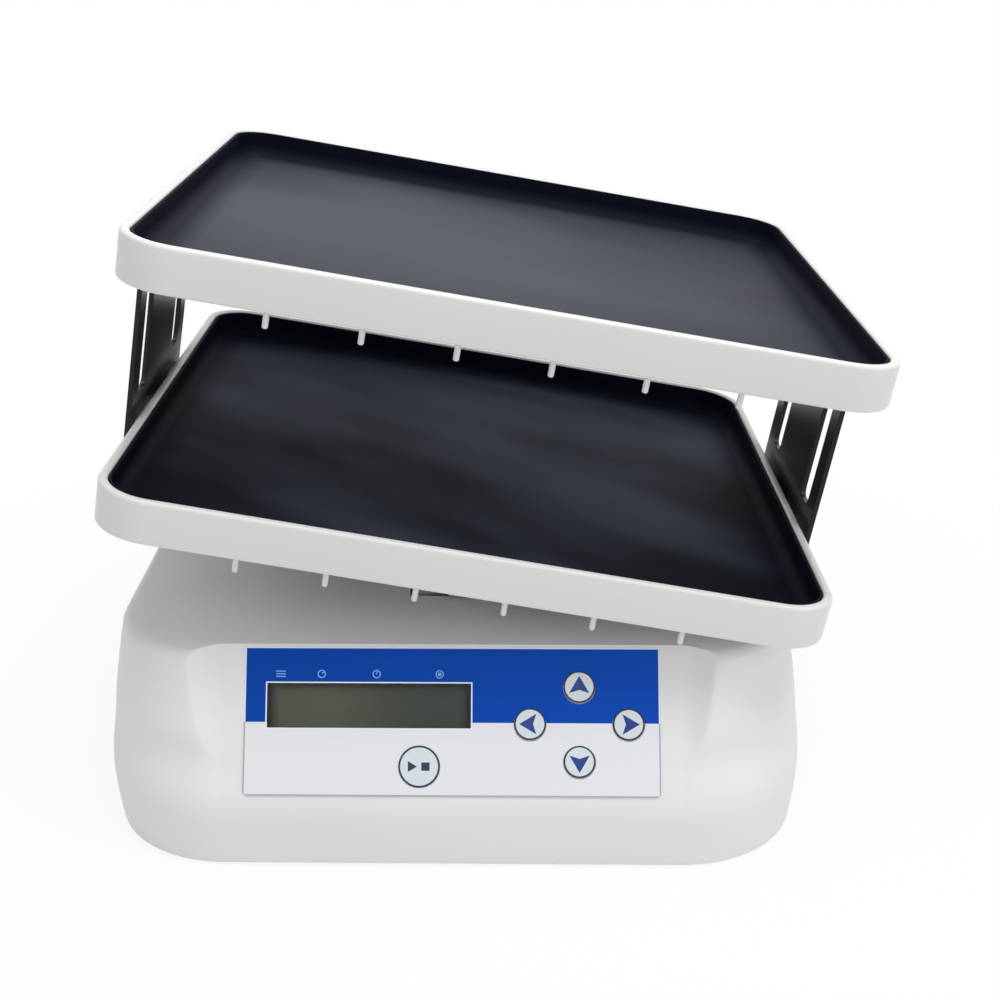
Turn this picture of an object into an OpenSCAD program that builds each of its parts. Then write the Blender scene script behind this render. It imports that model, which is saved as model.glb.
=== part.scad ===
// Two-tier rocker shaker: a moulded base with an inclined keypad, and two trays that rock together.
// The origin is on the bench under the middle of the rocking axle. X runs right, Y back and Z up.
// The trays are drawn tilted to one end of their stroke, left side up.

/* [Base] */
// Widest part of the base, side to side
base_w = 300; // [285:1:330]
// From the rocking axle forward to the foremost point of the base
base_front = 157.2; // [155:0.2:165]
// From the rocking axle back to the rear of the base
base_back = 142; // [132:1:165]
// Height of the deck above the bench
deck_z = 88; // [85:0.5:90]
// Radius of the corners, seen from above
base_corner = 55; // [45:1:65]
// Wall of the moulded cover
cover_wall = 3; // [2.5:0.1:3.6]
// Height of the cover's lower edge above the bench
cover_lift = 1; // [0.5:0.5:3]
// Height of the widest part of the base
belly_z = 33; // [28:1:40]
// How far the sides draw in from the belly up to the deck
belly_top = 6; // [3:0.5:8]
// How far the sides draw in from the belly down to the lower edge
belly_foot = 2.5; // [1.5:0.5:4]
// Rounding of the deck's edge
deck_round = 3.5; // [3:0.5:8]
// Height at which the front starts to lean
lean_z = 30; // [27:1:32]
// Height at which the cheeks beside the console start to stand proud of it
cheek_z = 46; // [44:0.5:50]
// Height over which the cheeks rise out of the console
cheek_rise = 11; // [8:0.5:13]
// Lean of the cheeks above that, from upright
cheek_lean = 14; // [12:0.5:18]
// Thickness of the steel base plate
plate_t = 2.5; // [2:0.1:4]
// Thickness of a rubber foot under the plate
foot_t = 4; // [3:0.5:6]
// Diameter of a rubber foot
foot_d = 22; // [16:1:30]

/* [Console] */
// From the rocking axle forward to the console's top edge
console_y = 124.8; // [122:0.2:128]
// Lean of the console face, from upright
console_lean = 29; // [27:0.5:31]
// Width of the flat console face
console_w = 190; // [180:1:200]
// Flare of the walls beside the console face
console_flare = 65; // [58:1:68]
// Width of the printed keypad sheet
panel_w = 171; // [166:0.5:178]
// Height of the printed keypad sheet
panel_h = 60.6; // [58:0.2:62]
// From the console's top edge down to the keypad sheet
panel_drop = 1.2; // [0.8:0.1:2]
// Thickness of the keypad sheet
overlay_t = 0.8; // [0.5:0.1:1.2]
// Depth of the seat that the keypad sheet lies in
overlay_sink = 0.5; // [0.3:0.1:0.7]
// Width of the display's clear window
lcd_w = 84; // [80:0.5:86]
// Height of the display's clear window
lcd_h = 18.2; // [16:0.2:20]
// From the middle of the keypad sheet across to the display's centre
lcd_x = -34.1; // [-36:0.1:-32]
// From the keypad sheet's top edge down to the display's centre
lcd_v = 24; // [22:0.2:26]
// Diameter of an arrow key
key_d = 13; // [10:0.5:14]
// Diameter of the start key
start_d = 16.8; // [14:0.2:18]
// From the middle of the keypad sheet across to the centre of the arrow keys
cross_x = 52.4; // [50:0.2:54]
// From the sheet's top edge down to the centre of the arrow keys
cross_v = 31.5; // [30:0.2:33]
// From the centre of the arrow keys across to the left or right key
cross_dx = 20.2; // [18:0.2:22]
// From the centre of the arrow keys to the up or down key
cross_dv = 15.2; // [14.4:0.2:17]
// From the middle of the keypad sheet across to the start key
start_x = -13.2; // [-16:0.2:-10]
// From the sheet's top edge down to the start key
start_v = 48.7; // [47:0.2:50]
// Height of a key above the sheet
key_proud = 0.35; // [0.2:0.05:0.8]
// Travel of a key
key_travel = 0.4; // [0.2:0.05:0.6]
// Diameter of a key's stem
key_stem_d = 6.4; // [5:0.2:8]

/* [Trays] */
// Width of a tray, side to side
tray_w = 300; // [280:1:310]
// Depth of a tray, front to back
tray_d = 290; // [270:1:310]
// Height of a tray's rim
tray_h = 18.5; // [16:0.5:21]
// Thickness of a tray's rim
tray_wall = 4; // [3:0.2:5]
// Thickness of a tray's floor
tray_floor = 3.5; // [3:0.5:5]
// Radius of a tray's corners
tray_corner = 24; // [16:1:34]
// Thickness of the rubber mat on the floor
mat_floor = 2.5; // [1.5:0.5:4]
// Thickness of the mat's upturned edge
mat_wall = 1.4; // [1:0.2:2.4]
// How far the mat's edge stops below the rim
mat_drop = 0.6; // [0.2:0.2:1.6]
// Height from one rim to the other
tier_gap = 100.5; // [96:0.5:130]
// Number of band pegs along one edge of a tray
peg_count = 6; // [4:1:7]
// Spacing of the band pegs
peg_pitch = 35.9; // [30:0.1:38]
// Diameter of a band peg
peg_d = 2.4; // [1.6:0.2:3.6]
// How far a band peg hangs below its tray
peg_len = 7; // [4:0.5:8]

/* [Uprights] */
// Thickness of an upright
upright_t = 2.2; // [1.6:0.2:3]
// Width of an upright, front to back
upright_w = 112; // [104:1:130]
// Width of a height slot
slot_w = 15; // [13:0.5:16]
// From the middle of the upright to a height slot
slot_y = 36; // [32:1:38]
// From the lower rim up to the slot's lower end
slot_rise = 7; // [6:0.2:8]
// Thickness of the pads between a tray and the uprights
pad_t = 2.2; // [1.6:0.2:3]

/* [Rocking drive] */
// Tilt at either end of the stroke
tilt = 10; // [8:0.5:10]
// Height of the rocking axle above the bench
axle_z = 94; // [93:0.5:97]
// Diameter of the rocking axle
axle_d = 10; // [8:1:12]
// From the rocking axle up to the lower rim, with the trays level
rim_rise = 44; // [43:0.5:48]
// From the rocking axle forward or back to a bearing post
post_y = 70; // [69:1:75]
// Thickness of a bearing post
post_t = 12; // [10:1:14]
// Outside diameter of an axle bearing
bearing_d = 26; // [22:1:28]
// Width of an axle bearing
bearing_w = 8; // [6:1:9]
// Width of the carrier under the lower tray
carrier_w = 180; // [150:5:210]
// Depth of the carrier under the lower tray
carrier_d = 180; // [160:5:210]
// Thickness of the carrier
carrier_t = 4; // [3:0.5:5]
// From the rocking axle down to the crank's centre
lever_l = 46; // [43:0.5:48]
// Thickness of the slotted lever
lever_t = 7; // [6:0.5:8]
// Diameter of the crank roller
roller_d = 16; // [13:1:18]
// Turn of the crank from mid stroke to the end of the stroke
crank_half_turn = 79; // [75:1:83]
// Radius of the crank disc
crank_r = 15; // [14:0.5:17]
// Thickness of the crank disc
crank_t = 7; // [6:0.5:8]
// Diameter of the gearbox
gearbox_d = 37; // [34:1:40]
// Length of the gearbox
gearbox_l = 24; // [20:1:26]
// Diameter of the motor
motor_d = 35; // [32:1:38]
// Length of the motor
motor_l = 46; // [40:1:48]
// Diameter of the gearbox's output shaft
shaft_d = 8; // [6:1:10]

/* [Rear] */
// From the middle of the base across to the rear pocket's centre
pocket_x = 70; // [50:1:75]
// Height of the rear pocket's centre
pocket_z = 36; // [34:1:40]
// Width of the rear pocket
pocket_w = 74; // [70:1:80]
// Height of the rear pocket
pocket_h = 34; // [30:1:38]
// Depth of the rear pocket at the belly
pocket_depth = 6; // [5:0.5:8]
// From the pocket's centre across to the power switch
switch_dx = 18; // [15:1:22]
// Swing of the power switch from off to on
switch_swing = 20; // [16:1:24]

/* [Hidden] */

$fn = 64;

// Clearances: a fixed fit, a thin film, a running fit, a loose gap and a wide gap between moving pieces
fit = 0.04;
film = 0.05;
run = 0.06;
gap = 0.3;
room = 1;

// How far joined shapes run into each other, and how far a cut runs past the shape it cuts
bite = 0.5;
past = 1;
cut_h = 30;

// Facets of the cover's skin: steps in a corner's arc, up the side and round the deck's edge
arc_steps = 10;
side_steps = 14;
round_steps = 5;
lean_knee = 8;
cheek_knee = 5;
belly_power = 1.5;
inner_round = max(deck_round - cover_wall, bite);

plate_z = foot_t;
plate_top = plate_z + plate_t;
plate_gap = 0.6;
foot_in = 34;
front_foot_in = 47.2;
foot_stem_d = 6;
boss_in = 9.5;
boss_r = 6;
boss_h = 22;
boss_y = [-82, 20, 96];
cover_screw_d = 3;
cover_screw_head = 6;
cover_screw_l = 14;
head_h = 1.8;
socket_share = 0.45;
socket_depth = 0.6;
well_gap = 2;
lever_well_x = 6;
lever_well_y = 2.5;

overlay_top = overlay_t - overlay_sink;
panel_corner = 2;
key_gap = 0.25;
key_under = key_travel + film - overlay_sink;
stem_foot = -cover_wall - 0.4;
plunger_top = stem_foot - key_travel - 2 * film;
plunger_h = 0.7;
plunger_d = 3.4;
switch_a = 6;
switch_h = 3.4;
board_t = 1.6;
key_board_z = plunger_top - plunger_h - switch_h;
key_board_edge = 6;
lens_lap = 0.6;
lens_t = 1.8;
frame_lip = 0.6;
frame_lap = 5;
frame_band = 1;
glass_t = 1.8;
backlight_t = 2.2;
frame_z = -cover_wall - 2 * film;
glass_z = frame_z - frame_lip - film;
backlight_z = glass_z - glass_t - film;
display_board_z = backlight_z - backlight_t - film;
display_edge_x = 16;
display_edge_v = 9.4;
display_board_w = lcd_w + 2 * display_edge_x;
display_board_h = lcd_h + 2 * display_edge_v;
board_hole_in = 3;
board_boss_r = 2.6;
board_screw_d = 1.8;
board_screw_head = 4.4;
board_screw_head_h = 1.2;
board_screw_l = 3.6;
start_screw_dx = 16;
cheek_h = 60;
cheek_l = 200;

KEYS = [
    ["start_key", start_x, start_v, start_d],
    ["up_key", cross_x, cross_v - cross_dv, key_d],
    ["down_key", cross_x, cross_v + cross_dv, key_d],
    ["left_key", cross_x - cross_dx, cross_v, key_d],
    ["right_key", cross_x + cross_dx, cross_v, key_d]
];

// Heights on the platform are counted from the axle, along the tilted platform's own upright
tray_z = rim_rise - tray_h;
carrier_z = tray_z - carrier_t;
upright_foot = tray_z - 2;
upright_top = rim_rise + tier_gap - 7;
upright_x = tray_w / 2 + pad_t + gap;
screw_rise = 4;
bush_w = slot_w - 0.4;
bush_h = 9;
bush_corner = 4;
slot_foot = rim_rise + slot_rise;
clamp_z = tray_z + tier_gap + screw_rise;
slot_top = clamp_z + bush_h / 2 + gap;
pad_w = 22;
pad_h = 14;
side_screw_d = 5;
side_screw_head = 10;
side_screw_head_h = 2.6;
side_socket_d = 3.4;
side_screw_l = tray_wall - 0.4;
bush_flange_t = 1.4;
bush_lip = 2;
upright_corner = 6;
peg_in = 4.6;
peg_root = 2.5;

post_side = 5;
post_toe = 14;
post_w = bearing_d + 2 * post_side;
post_flange_w = post_w + 2 * post_toe;
post_flange_h = 6;
bearing_shoulder = 3;
seal_sink = 0.5;
seal_w = 4;
ear_t = 10;
ear_y = post_y - post_t / 2 - room / 2 - ear_t;
hub_r = axle_d / 2 + 6;
hub_screw_d = 4;
axle_flat = 0.6;
ear_flare = 9;
ring_t = 1.1;
ring_groove = 0.7;
ring_slot = ring_t + 2 * film;
axle_end = post_y + post_t / 2 + 5;
ring_y = post_y + post_t / 2 + gap;
carrier_corner = 14;
carrier_hole_in = 16;
carrier_screw_d = 4;
carrier_screw_head = 8;
carrier_head_h = 2.2;
post_screw_in = 6;

crank_z = axle_z - lever_l;
crank_throw = lever_l * sin(tilt);
lever_y = -36;
lever_play = 0.8;
lever_band = 6;
lever_slot_w = roller_d + 2 * lever_play;
lever_slot_top = lever_l - crank_throw - roller_d / 2 - room;
lever_slot_foot = lever_l + crank_throw + roller_d / 2 + room;
lever_neck_w = 20;
pin_x = -crank_throw * sin(crank_half_turn);
pin_z = crank_z - crank_throw * cos(crank_half_turn);
pin_d = 6;
pin_root_d = 5;
pin_head_d = 9;
pin_head_h = 2.4;
roller_w = lever_t - 1;
roller_bore_lip = 8.6;
crank_y = lever_y + lever_t / 2 + 2;
bracket_t = 3;
bracket_y = crank_y + crank_t + 3.5;
bracket_w = gearbox_d + 12;
bracket_foot = 30;
bracket_web = 18;
bracket_top = 3;
bracket_screw_in = 8;
bracket_nut_h = 3;
gearbox_y = bracket_y + bracket_t;
motor_y = gearbox_y + gearbox_l;
motor_cap_d = 13;
motor_cap_l = 3;
lug = [3, 6, 0.8];
lug_x = 11;
shaft_root = 8;
gearbox_boss_d = shaft_d + 7;
gearbox_boss_l = 2;
gearbox_screw_l = 5.5;
gearbox_screw_head = 5.5;
gearbox_screw_r = gearbox_d / 2 - 4.5;
gearbox_screw_d = 3;

board_in = 58;
board_back = 102;
board_x = board_in - base_w / 2;
board_y = base_back - board_back;
board_w = 76;
board_d = 100;
spacer_h = 8;
spacer_d = 6;
spacer_in = 5;
main_board_z = plate_top + spacer_h;
socket_z = main_board_z + board_t + 4.5;

// Blocks on the main board, as left, front, width, depth and height: transformer, chip and three sockets
BLOCKS = [
    [board_x - 24, board_y + 18, 34, 14, 20], [board_x + 10, board_y - 16, 12, 12, 2.5],
    [board_x, board_y - 42, 24, 7, 9], [board_x - 12, board_y + 34, 24, 7, 9],
    [board_x + 28, board_y + 4, 8, 16, 9]
];
// Upright capacitors on the main board
CAPS = [[board_x - 22, board_y - 12], [board_x - 8, board_y - 12]];
cap_d = 12;
cap_h = 18;

// Ribbon from the display's board to the main board, and the jumper between the two console boards
ribbon_x = board_x + 16;
ribbon_w = 12;
ribbon_t = 0.6;
ribbon_lap = 4;
ribbon_drop = 8;
ribbon_bend = -118;
jumper_l = 16;
jumper_w = 6;

// Runs of the leads: inlet to switch, switch to board, inlet to board, and the motor's two leads
lead_d = 1.6;

pocket_y = base_back - pocket_depth;
switch_x = pocket_x + switch_dx;
inlet_x = pocket_x - switch_dx;
switch_w = 13;
switch_l = 19;
switch_wall = 1.2;
switch_flange = 1.2;
switch_flange_t = 2;
switch_depth = 12;
switch_floor = 1.5;
switch_pin_d = 2;
rocker_peak = 4.2;
rocker_dip = 2.2;
rocker_back = 2.5;
rocker_keel = 4;
inlet_d = 11;
inlet_flange_d = 15;
inlet_flange_t = 2;
inlet_l = 14;
inlet_bore_d = 6.4;
inlet_bore_l = 10;
inlet_pin_d = 2.1;
nut_w = 15;
nut_t = 2.5;

inlet_end = pocket_y - inlet_l - film - lead_d / 2;
switch_end = pocket_y - switch_depth - film - lead_d / 2;
lug_end = motor_y + motor_l - bite + lug[1] + film + lead_d / 2;
rear_socket = BLOCKS[3][1] + BLOCKS[3][3] + film + lead_d / 2;
side_socket = BLOCKS[4][0] + BLOCKS[4][2] + film + lead_d / 2;
floor_z = plate_top + 5;
link_y = pocket_y - 24;
live_y = pocket_y - 30;
return_y = pocket_y - 35;
SUPPLY = [
    [[inlet_x + 3, inlet_end, pocket_z], [inlet_x + 3, link_y, pocket_z], [switch_x - 4, link_y, pocket_z],
        [switch_x - 4, switch_end, pocket_z]],
    [[switch_x + 4, switch_end, pocket_z], [switch_x + 4, live_y, pocket_z],
        [switch_x + 4, live_y, floor_z], [board_x - 4, live_y, floor_z],
        [board_x - 4, live_y, socket_z], [board_x - 4, rear_socket, socket_z]],
    [[inlet_x - 3, inlet_end, pocket_z], [inlet_x - 3, return_y, pocket_z], [inlet_x - 3, return_y, floor_z],
        [board_x + 4, return_y, floor_z], [board_x + 4, return_y, socket_z],
        [board_x + 4, rear_socket, socket_z]]
];
MOTOR = [
    [[-lug_x, lug_end, crank_z], [-30, lug_end, crank_z], [-30, lug_end, socket_z],
        [-30, BLOCKS[4][1] + 12, socket_z], [side_socket, BLOCKS[4][1] + 12, socket_z]],
    [[lug_x, lug_end, crank_z], [lug_x, lug_end, crank_z - 8], [-26, lug_end, crank_z - 8],
        [-26, lug_end, socket_z], [-26, BLOCKS[4][1] + 6, socket_z],
        [side_socket, BLOCKS[4][1] + 6, socket_z]]
];

white_plastic = "#e9eaec";
black_rubber = "#1d1f22";
dark_metal = "#303238";
steel = "#b6babf";
light_metal = "#c9ccd0";
board_green = "#2e6b46";

// Draw-in of the cover's sides at height z, from the belly up and from the belly down
function side_in(z) = z > belly_z
    ? belly_top * pow((z - belly_z) / (deck_z - belly_z), belly_power)
    : belly_foot * pow((belly_z - z) / (belly_z - cover_lift), 2);

// A slope that starts at height z0 with a soft knee of half length k
function ramp(z, z0, k, slope) = let (u = z - z0)
    u <= -k ? 0 : u >= k ? u * slope : slope * pow(u + k, 2) / (4 * k);

// Extra draw-in of the front: it leans with the console, stands up where the cheeks rise, then leans less
function lean_in(z) = ramp(z, lean_z, lean_knee, tan(console_lean))
    - ramp(z, cheek_z, cheek_knee, tan(console_lean))
    + ramp(z, cheek_z + cheek_rise, cheek_knee, tan(cheek_lean));

// Draw-in of a round edge of radius r under the height top
function round_in(z, top, r) = z > top - r ? r - sqrt(max(0, r * r - pow(z - top + r, 2))) : 0;

// Outline of the cover at height z, e inside the outer skin, as four corner arcs
function outline(z, e, top, r) = let (
        s = side_in(z) + round_in(z, top, r) + e,
        c = base_corner - s,
        x = base_w / 2 - base_corner,
        y_front = s + lean_in(z) + c - base_front,
        y_back = base_back - base_corner,
        centres = [[x, y_back], [-x, y_back], [-x, y_front], [x, y_front]])
    [for (i = [0:3], k = [0:arc_steps])
        let (a = 90 * (i + k / arc_steps))
        [centres[i][0] + c * cos(a), centres[i][1] + c * sin(a), z]];

// Heights of the cover's sections: even steps up the side, then even angles round the deck's edge
function levels(foot, top, r) = concat(
    [for (k = [0:side_steps]) foot + (top - r - foot) * k / side_steps],
    [for (k = [1:round_steps]) top - r + r * sin(90 * k / round_steps)]);

// Solid of stacked outlines, closed by flat faces at both ends
module skin(foot, top, r, e) {
    zs = levels(foot, top, r);
    n = 4 * (arc_steps + 1);
    last = len(zs) - 1;
    points = [for (z = zs) each outline(z, e, top, r)];
    sides = [for (j = [0:last - 1], i = [0:n - 1])
        let (a = j * n + i, b = j * n + (i + 1) % n, c = b + n, d = a + n)
        each [[a, d, c], [a, c, b]]];
    polyhedron(points, concat(sides, [[for (i = [0:n - 1]) i]], [[for (i = [n - 1:-1:0]) last * n + i]]));
}

// Rounded rectangle about the origin
module round_rect(w, d, r) {
    square([w - 2 * r, d], center = true);
    square([w, d - 2 * r], center = true);
    for (sx = [-1, 1], sy = [-1, 1]) translate([sx * (w / 2 - r), sy * (d / 2 - r)]) circle(r);
}

// Cylinder along Y between two places
module along_y(y0, y1, d, x = 0, z = 0) {
    translate([x, y0, z]) rotate([-90, 0, 0]) cylinder(h = y1 - y0, d = d);
}

// Flat shape drawn in X and Z, with its thickness running back from y0
module standing(y0, t) {
    translate([0, y0 + t, 0]) rotate([90, 0, 0]) linear_extrude(t) children();
}

// Console frame: origin at the middle of its top edge, Y up the slope, Z out of the face
module on_console() {
    translate([0, -console_y, deck_z]) rotate([90 - console_lean, 0, 0]) children();
}

// A point of the console frame, y up the slope and z out of the face, as Y and Z
function console_yz(y, z) = [
    y * sin(console_lean) - z * cos(console_lean) - console_y,
    y * cos(console_lean) + z * sin(console_lean) + deck_z];

// Place on the keypad sheet: x from its middle, v down from its top edge
module at_panel(x, v) {
    on_console() translate([x, -panel_drop - v, 0]) children();
}

// Platform frame: origin on the axle, tilted to the end of the stroke
module on_platform() {
    translate([0, 0, axle_z]) rotate([0, tilt, 0]) children();
}

// The same frame, at the upper tray
module on_tier() {
    on_platform() translate([0, 0, tier_gap]) children();
}

// Room cut for the console, with its face sunk by e
module console_cut(e) {
    half = console_w / 2;
    flared = half + cheek_h * tan(console_flare);
    on_console() translate([0, 0, -e]) rotate([90, 0, 0]) linear_extrude(cheek_l, center = true)
        polygon([[-half, 0], [half, 0], [flared, cheek_h], [-flared, cheek_h]]);
}

// Room cut for the rear pocket, grown by e
module pocket_cut(e) {
    translate([pocket_x - pocket_w / 2 - e, pocket_y - e, pocket_z - pocket_h / 2 - e])
        cube([pocket_w + 2 * e, pocket_depth + e + cut_h, pocket_h + 2 * e]);
}

// Places of the cover's screw bosses
module at_bosses() {
    for (sx = [-1, 1], y = boss_y) translate([sx * (base_w / 2 - boss_in), y, plate_top]) children();
}

// Places of the rubber feet, near the corners
module at_feet() {
    for (sx = [-1, 1], y = [front_foot_in - base_front, base_back - foot_in])
        translate([sx * (base_w / 2 - foot_in), y, 0]) children();
}

// Corners of the display's board
module at_display_corners() {
    for (sx = [-1, 1], sy = [-1, 1])
        at_panel(lcd_x + sx * (display_board_w / 2 - board_hole_in),
            lcd_v + sy * (display_board_h / 2 - board_hole_in)) children();
}

// Screw places of the key board, clear of its switches
module at_key_board_screws() {
    for (p = [[cross_x - cross_dx, cross_v - cross_dv], [cross_x + cross_dx, cross_v - cross_dv],
            [cross_x + cross_dx, cross_v + cross_dv], [start_x + start_screw_dx, start_v]])
        at_panel(p[0], p[1]) children();
}

// Moulded bosses behind the console that carry the display's board and the key board
module console_bosses() {
    at_display_corners() board_boss(display_board_z);
    at_key_board_screws() board_boss(key_board_z);
}

module board_boss(foot) {
    difference() {
        translate([0, 0, foot]) cylinder(h = bite - foot - cover_wall, r = board_boss_r);
        translate([0, 0, foot - past])
            cylinder(h = board_screw_l - board_t + gap + past, d = board_screw_d + fit);
    }
}

module base_cover() {
    color(white_plastic) {
        difference() {
            skin(cover_lift, deck_z, deck_round, 0);
            console_cut(0);
            pocket_cut(0);
            difference() {
                skin(cover_lift - past, deck_z - cover_wall, inner_round, cover_wall);
                console_cut(cover_wall);
                pocket_cut(cover_wall);
            }
            // Seat of the keypad sheet, the display's window and the key stems' holes
            at_panel(0, panel_h / 2) translate([0, 0, -overlay_sink])
                linear_extrude(cut_h) round_rect(panel_w + 2 * gap, panel_h + 2 * gap, panel_corner + gap);
            at_panel(lcd_x, lcd_v) linear_extrude(cut_h, center = true)
                square([lcd_w + 2 * lens_lap + 2 * run, lcd_h + 2 * lens_lap + 2 * run], center = true);
            for (k = KEYS) at_panel(k[1], k[2])
                cylinder(h = cut_h, d = key_stem_d + 2 * gap, center = true);
            // Openings in the deck for the bearing posts with the carrier's ears, and for the lever
            for (s = [-1, 1]) translate([0, s * (ear_y + post_y + post_t / 2) / 2, deck_z])
                cube([post_w + 2 * well_gap, post_y + post_t / 2 - ear_y + 2 * well_gap, cut_h],
                    center = true);
            translate([0, lever_y, deck_z])
                cube([2 * (hub_r + lever_well_x), lever_t + 2 * lever_well_y, cut_h], center = true);
            // Rear openings
            translate([switch_x, pocket_y, pocket_z])
                cube([switch_w + 2 * run, cut_h, switch_l + 2 * run], center = true);
            along_y(pocket_y - cover_wall - past, pocket_y + past, inlet_d + 2 * run, inlet_x, pocket_z);
        }
        at_bosses() difference() {
            cylinder(h = boss_h, r = boss_r);
            translate([0, 0, -past]) cylinder(h = cover_screw_l + past, d = cover_screw_d + fit);
        }
        console_bosses();
    }
}

module base_plate() {
    s = side_in(plate_z) + cover_wall + plate_gap;
    w = base_w - 2 * s;
    d = base_front + base_back - 2 * s;
    color(steel) translate([0, (base_back - base_front) / 2, plate_z]) difference() {
        linear_extrude(plate_t) round_rect(w, d, base_corner - s);
        translate([0, (base_front - base_back) / 2, -plate_z]) {
            at_bosses() cylinder(h = cut_h, d = cover_screw_d + 2 * gap, center = true);
            at_feet() cylinder(h = cut_h, d = foot_stem_d + fit);
            at_post_screws() cylinder(h = cut_h, d = carrier_screw_d + 2 * gap, center = true);
            at_bracket_screws() cylinder(h = cut_h, d = carrier_screw_d + 2 * gap, center = true);
        }
    }
}

module rubber_feet() {
    color(black_rubber) at_feet() {
        cylinder(h = foot_t, d = foot_d);
        cylinder(h = plate_top, d = foot_stem_d);
    }
}

// Screw that points up: its head's top is at the origin and its shank rises from there
module screw_up(d, l, head_d, h = head_h) {
    translate([0, 0, -h]) difference() {
        cylinder(h = h, d = head_d);
        translate([0, 0, -past]) cylinder(h = past + h * socket_depth, d = head_d * socket_share, $fn = 6);
    }
    cylinder(h = l, d = d);
}

module cover_screws() {
    color(steel) at_bosses() translate([0, 0, -plate_t])
        screw_up(cover_screw_d, cover_screw_l, cover_screw_head);
}

module keypad_sheet() {
    color("#3f6fb5") at_panel(0, panel_h / 2) translate([0, 0, -overlay_sink]) linear_extrude(overlay_t)
        difference() {
            round_rect(panel_w, panel_h, panel_corner);
            translate([lcd_x, panel_h / 2 - lcd_v]) square([lcd_w, lcd_h], center = true);
            for (k = KEYS) translate([k[1], panel_h / 2 - k[2]]) circle(d = k[3] + 2 * key_gap);
        }
}

module display_window() {
    color("#9fb0a8", 0.5) at_panel(lcd_x, lcd_v) translate([0, 0, -overlay_sink - film - lens_t])
        linear_extrude(lens_t) square([lcd_w + 2 * lens_lap, lcd_h + 2 * lens_lap], center = true);
}

module display_frame() {
    w = lcd_w + 2 * frame_lap;
    h = lcd_h + 2 * frame_lap;
    depth = frame_z - display_board_z;
    color(dark_metal) at_panel(lcd_x, lcd_v) translate([0, 0, display_board_z]) difference() {
        linear_extrude(depth) square([w, h], center = true);
        translate([0, 0, -past]) linear_extrude(depth + past - frame_lip)
            square([w - 2 * frame_band, h - 2 * frame_band], center = true);
        linear_extrude(depth + past) square([lcd_w + 1, lcd_h + 1], center = true);
    }
}

// Sheet inside the display's frame, from z down by t
module display_layer(z, t) {
    e = frame_band + 2 * film;
    at_panel(lcd_x, lcd_v) translate([0, 0, z - t]) linear_extrude(t)
        square([lcd_w + 2 * frame_lap - 2 * e, lcd_h + 2 * frame_lap - 2 * e], center = true);
}

module display_glass() {
    color("#4a5250") display_layer(glass_z, glass_t);
}

module display_backlight() {
    color("#dfe6da") display_layer(backlight_z, backlight_t);
}

module display_board() {
    color(board_green) difference() {
        at_panel(lcd_x, lcd_v) translate([0, 0, display_board_z - board_t]) linear_extrude(board_t)
            square([display_board_w, display_board_h], center = true);
        at_display_corners() cylinder(h = cut_h, d = board_screw_d + 2 * gap, center = true);
    }
}

module key_board() {
    left = lcd_x + display_board_w / 2 + room;
    right = cross_x + cross_dx + key_board_edge + switch_a / 2;
    top = cross_v - cross_dv - key_board_edge - switch_a / 2;
    step = lcd_v + display_board_h / 2 + room;
    foot = max(start_v, cross_v + cross_dv) + key_board_edge + switch_a / 2 - room;
    tail = start_x - key_board_edge - switch_a / 2;
    color(board_green) difference() {
        at_panel(0, 0) translate([0, 0, key_board_z - board_t]) linear_extrude(board_t) polygon([
            [left, -top], [right, -top], [right, -foot], [tail, -foot], [tail, -step], [left, -step]]);
        at_key_board_screws() cylinder(h = cut_h, d = board_screw_d + 2 * gap, center = true);
    }
}

module key_switches() {
    color("#2b2b2e") for (k = KEYS) at_panel(k[1], k[2]) translate([0, 0, key_board_z]) {
        translate([-switch_a / 2, -switch_a / 2, 0]) cube([switch_a, switch_a, switch_h]);
        cylinder(h = switch_h + plunger_h, d = plunger_d);
    }
}

module board_screws() {
    color(steel) {
        at_display_corners() translate([0, 0, display_board_z - board_t])
            screw_up(board_screw_d, board_screw_l, board_screw_head, board_screw_head_h);
        at_key_board_screws() translate([0, 0, key_board_z - board_t])
            screw_up(board_screw_d, board_screw_l, board_screw_head, board_screw_head_h);
    }
}

// Key: a thin cap in the sheet's hole, on a stem that reaches its switch through the console
module panel_key(k) {
    color("#eef1f5") at_panel(k[1], k[2]) {
        translate([0, 0, key_under]) cylinder(h = overlay_top + key_proud - key_under, d = k[3]);
        translate([0, 0, stem_foot]) cylinder(h = key_under - stem_foot + film, d = key_stem_d);
    }
}

module start_key() { panel_key(KEYS[0]); }
module up_key() { panel_key(KEYS[1]); }
module down_key() { panel_key(KEYS[2]); }
module left_key() { panel_key(KEYS[3]); }
module right_key() { panel_key(KEYS[4]); }

// Screw places in the feet of the bearing posts
module at_post_screws() {
    for (sx = [-1, 1], sy = [-1, 1])
        translate([sx * (post_flange_w / 2 - post_screw_in), sy * post_y, plate_top]) children();
}

// Bearing post; the bearing's pocket opens away from the middle
module bearing_post(s) {
    shoulder_d = bearing_d - 2 * bearing_shoulder;
    outer = s * (post_y + post_t / 2);
    color(light_metal) difference() {
        union() {
            standing(s * post_y - post_t / 2, post_t) {
                translate([-post_w / 2, plate_top]) square([post_w, axle_z - plate_top]);
                translate([0, axle_z]) circle(d = post_w);
            }
            translate([-post_flange_w / 2, s * post_y - post_t / 2, plate_top])
                cube([post_flange_w, post_t, post_flange_h]);
        }
        along_y(s * post_y - post_t, s * post_y + post_t, shoulder_d, 0, axle_z);
        along_y(outer - bearing_w, outer + bearing_w, bearing_d + fit, 0, axle_z);
        at_post_screws() cylinder(h = post_flange_h - past, d = carrier_screw_d + fit);
    }
}

module front_bearing_post() { bearing_post(-1); }
module rear_bearing_post() { bearing_post(1); }

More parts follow.
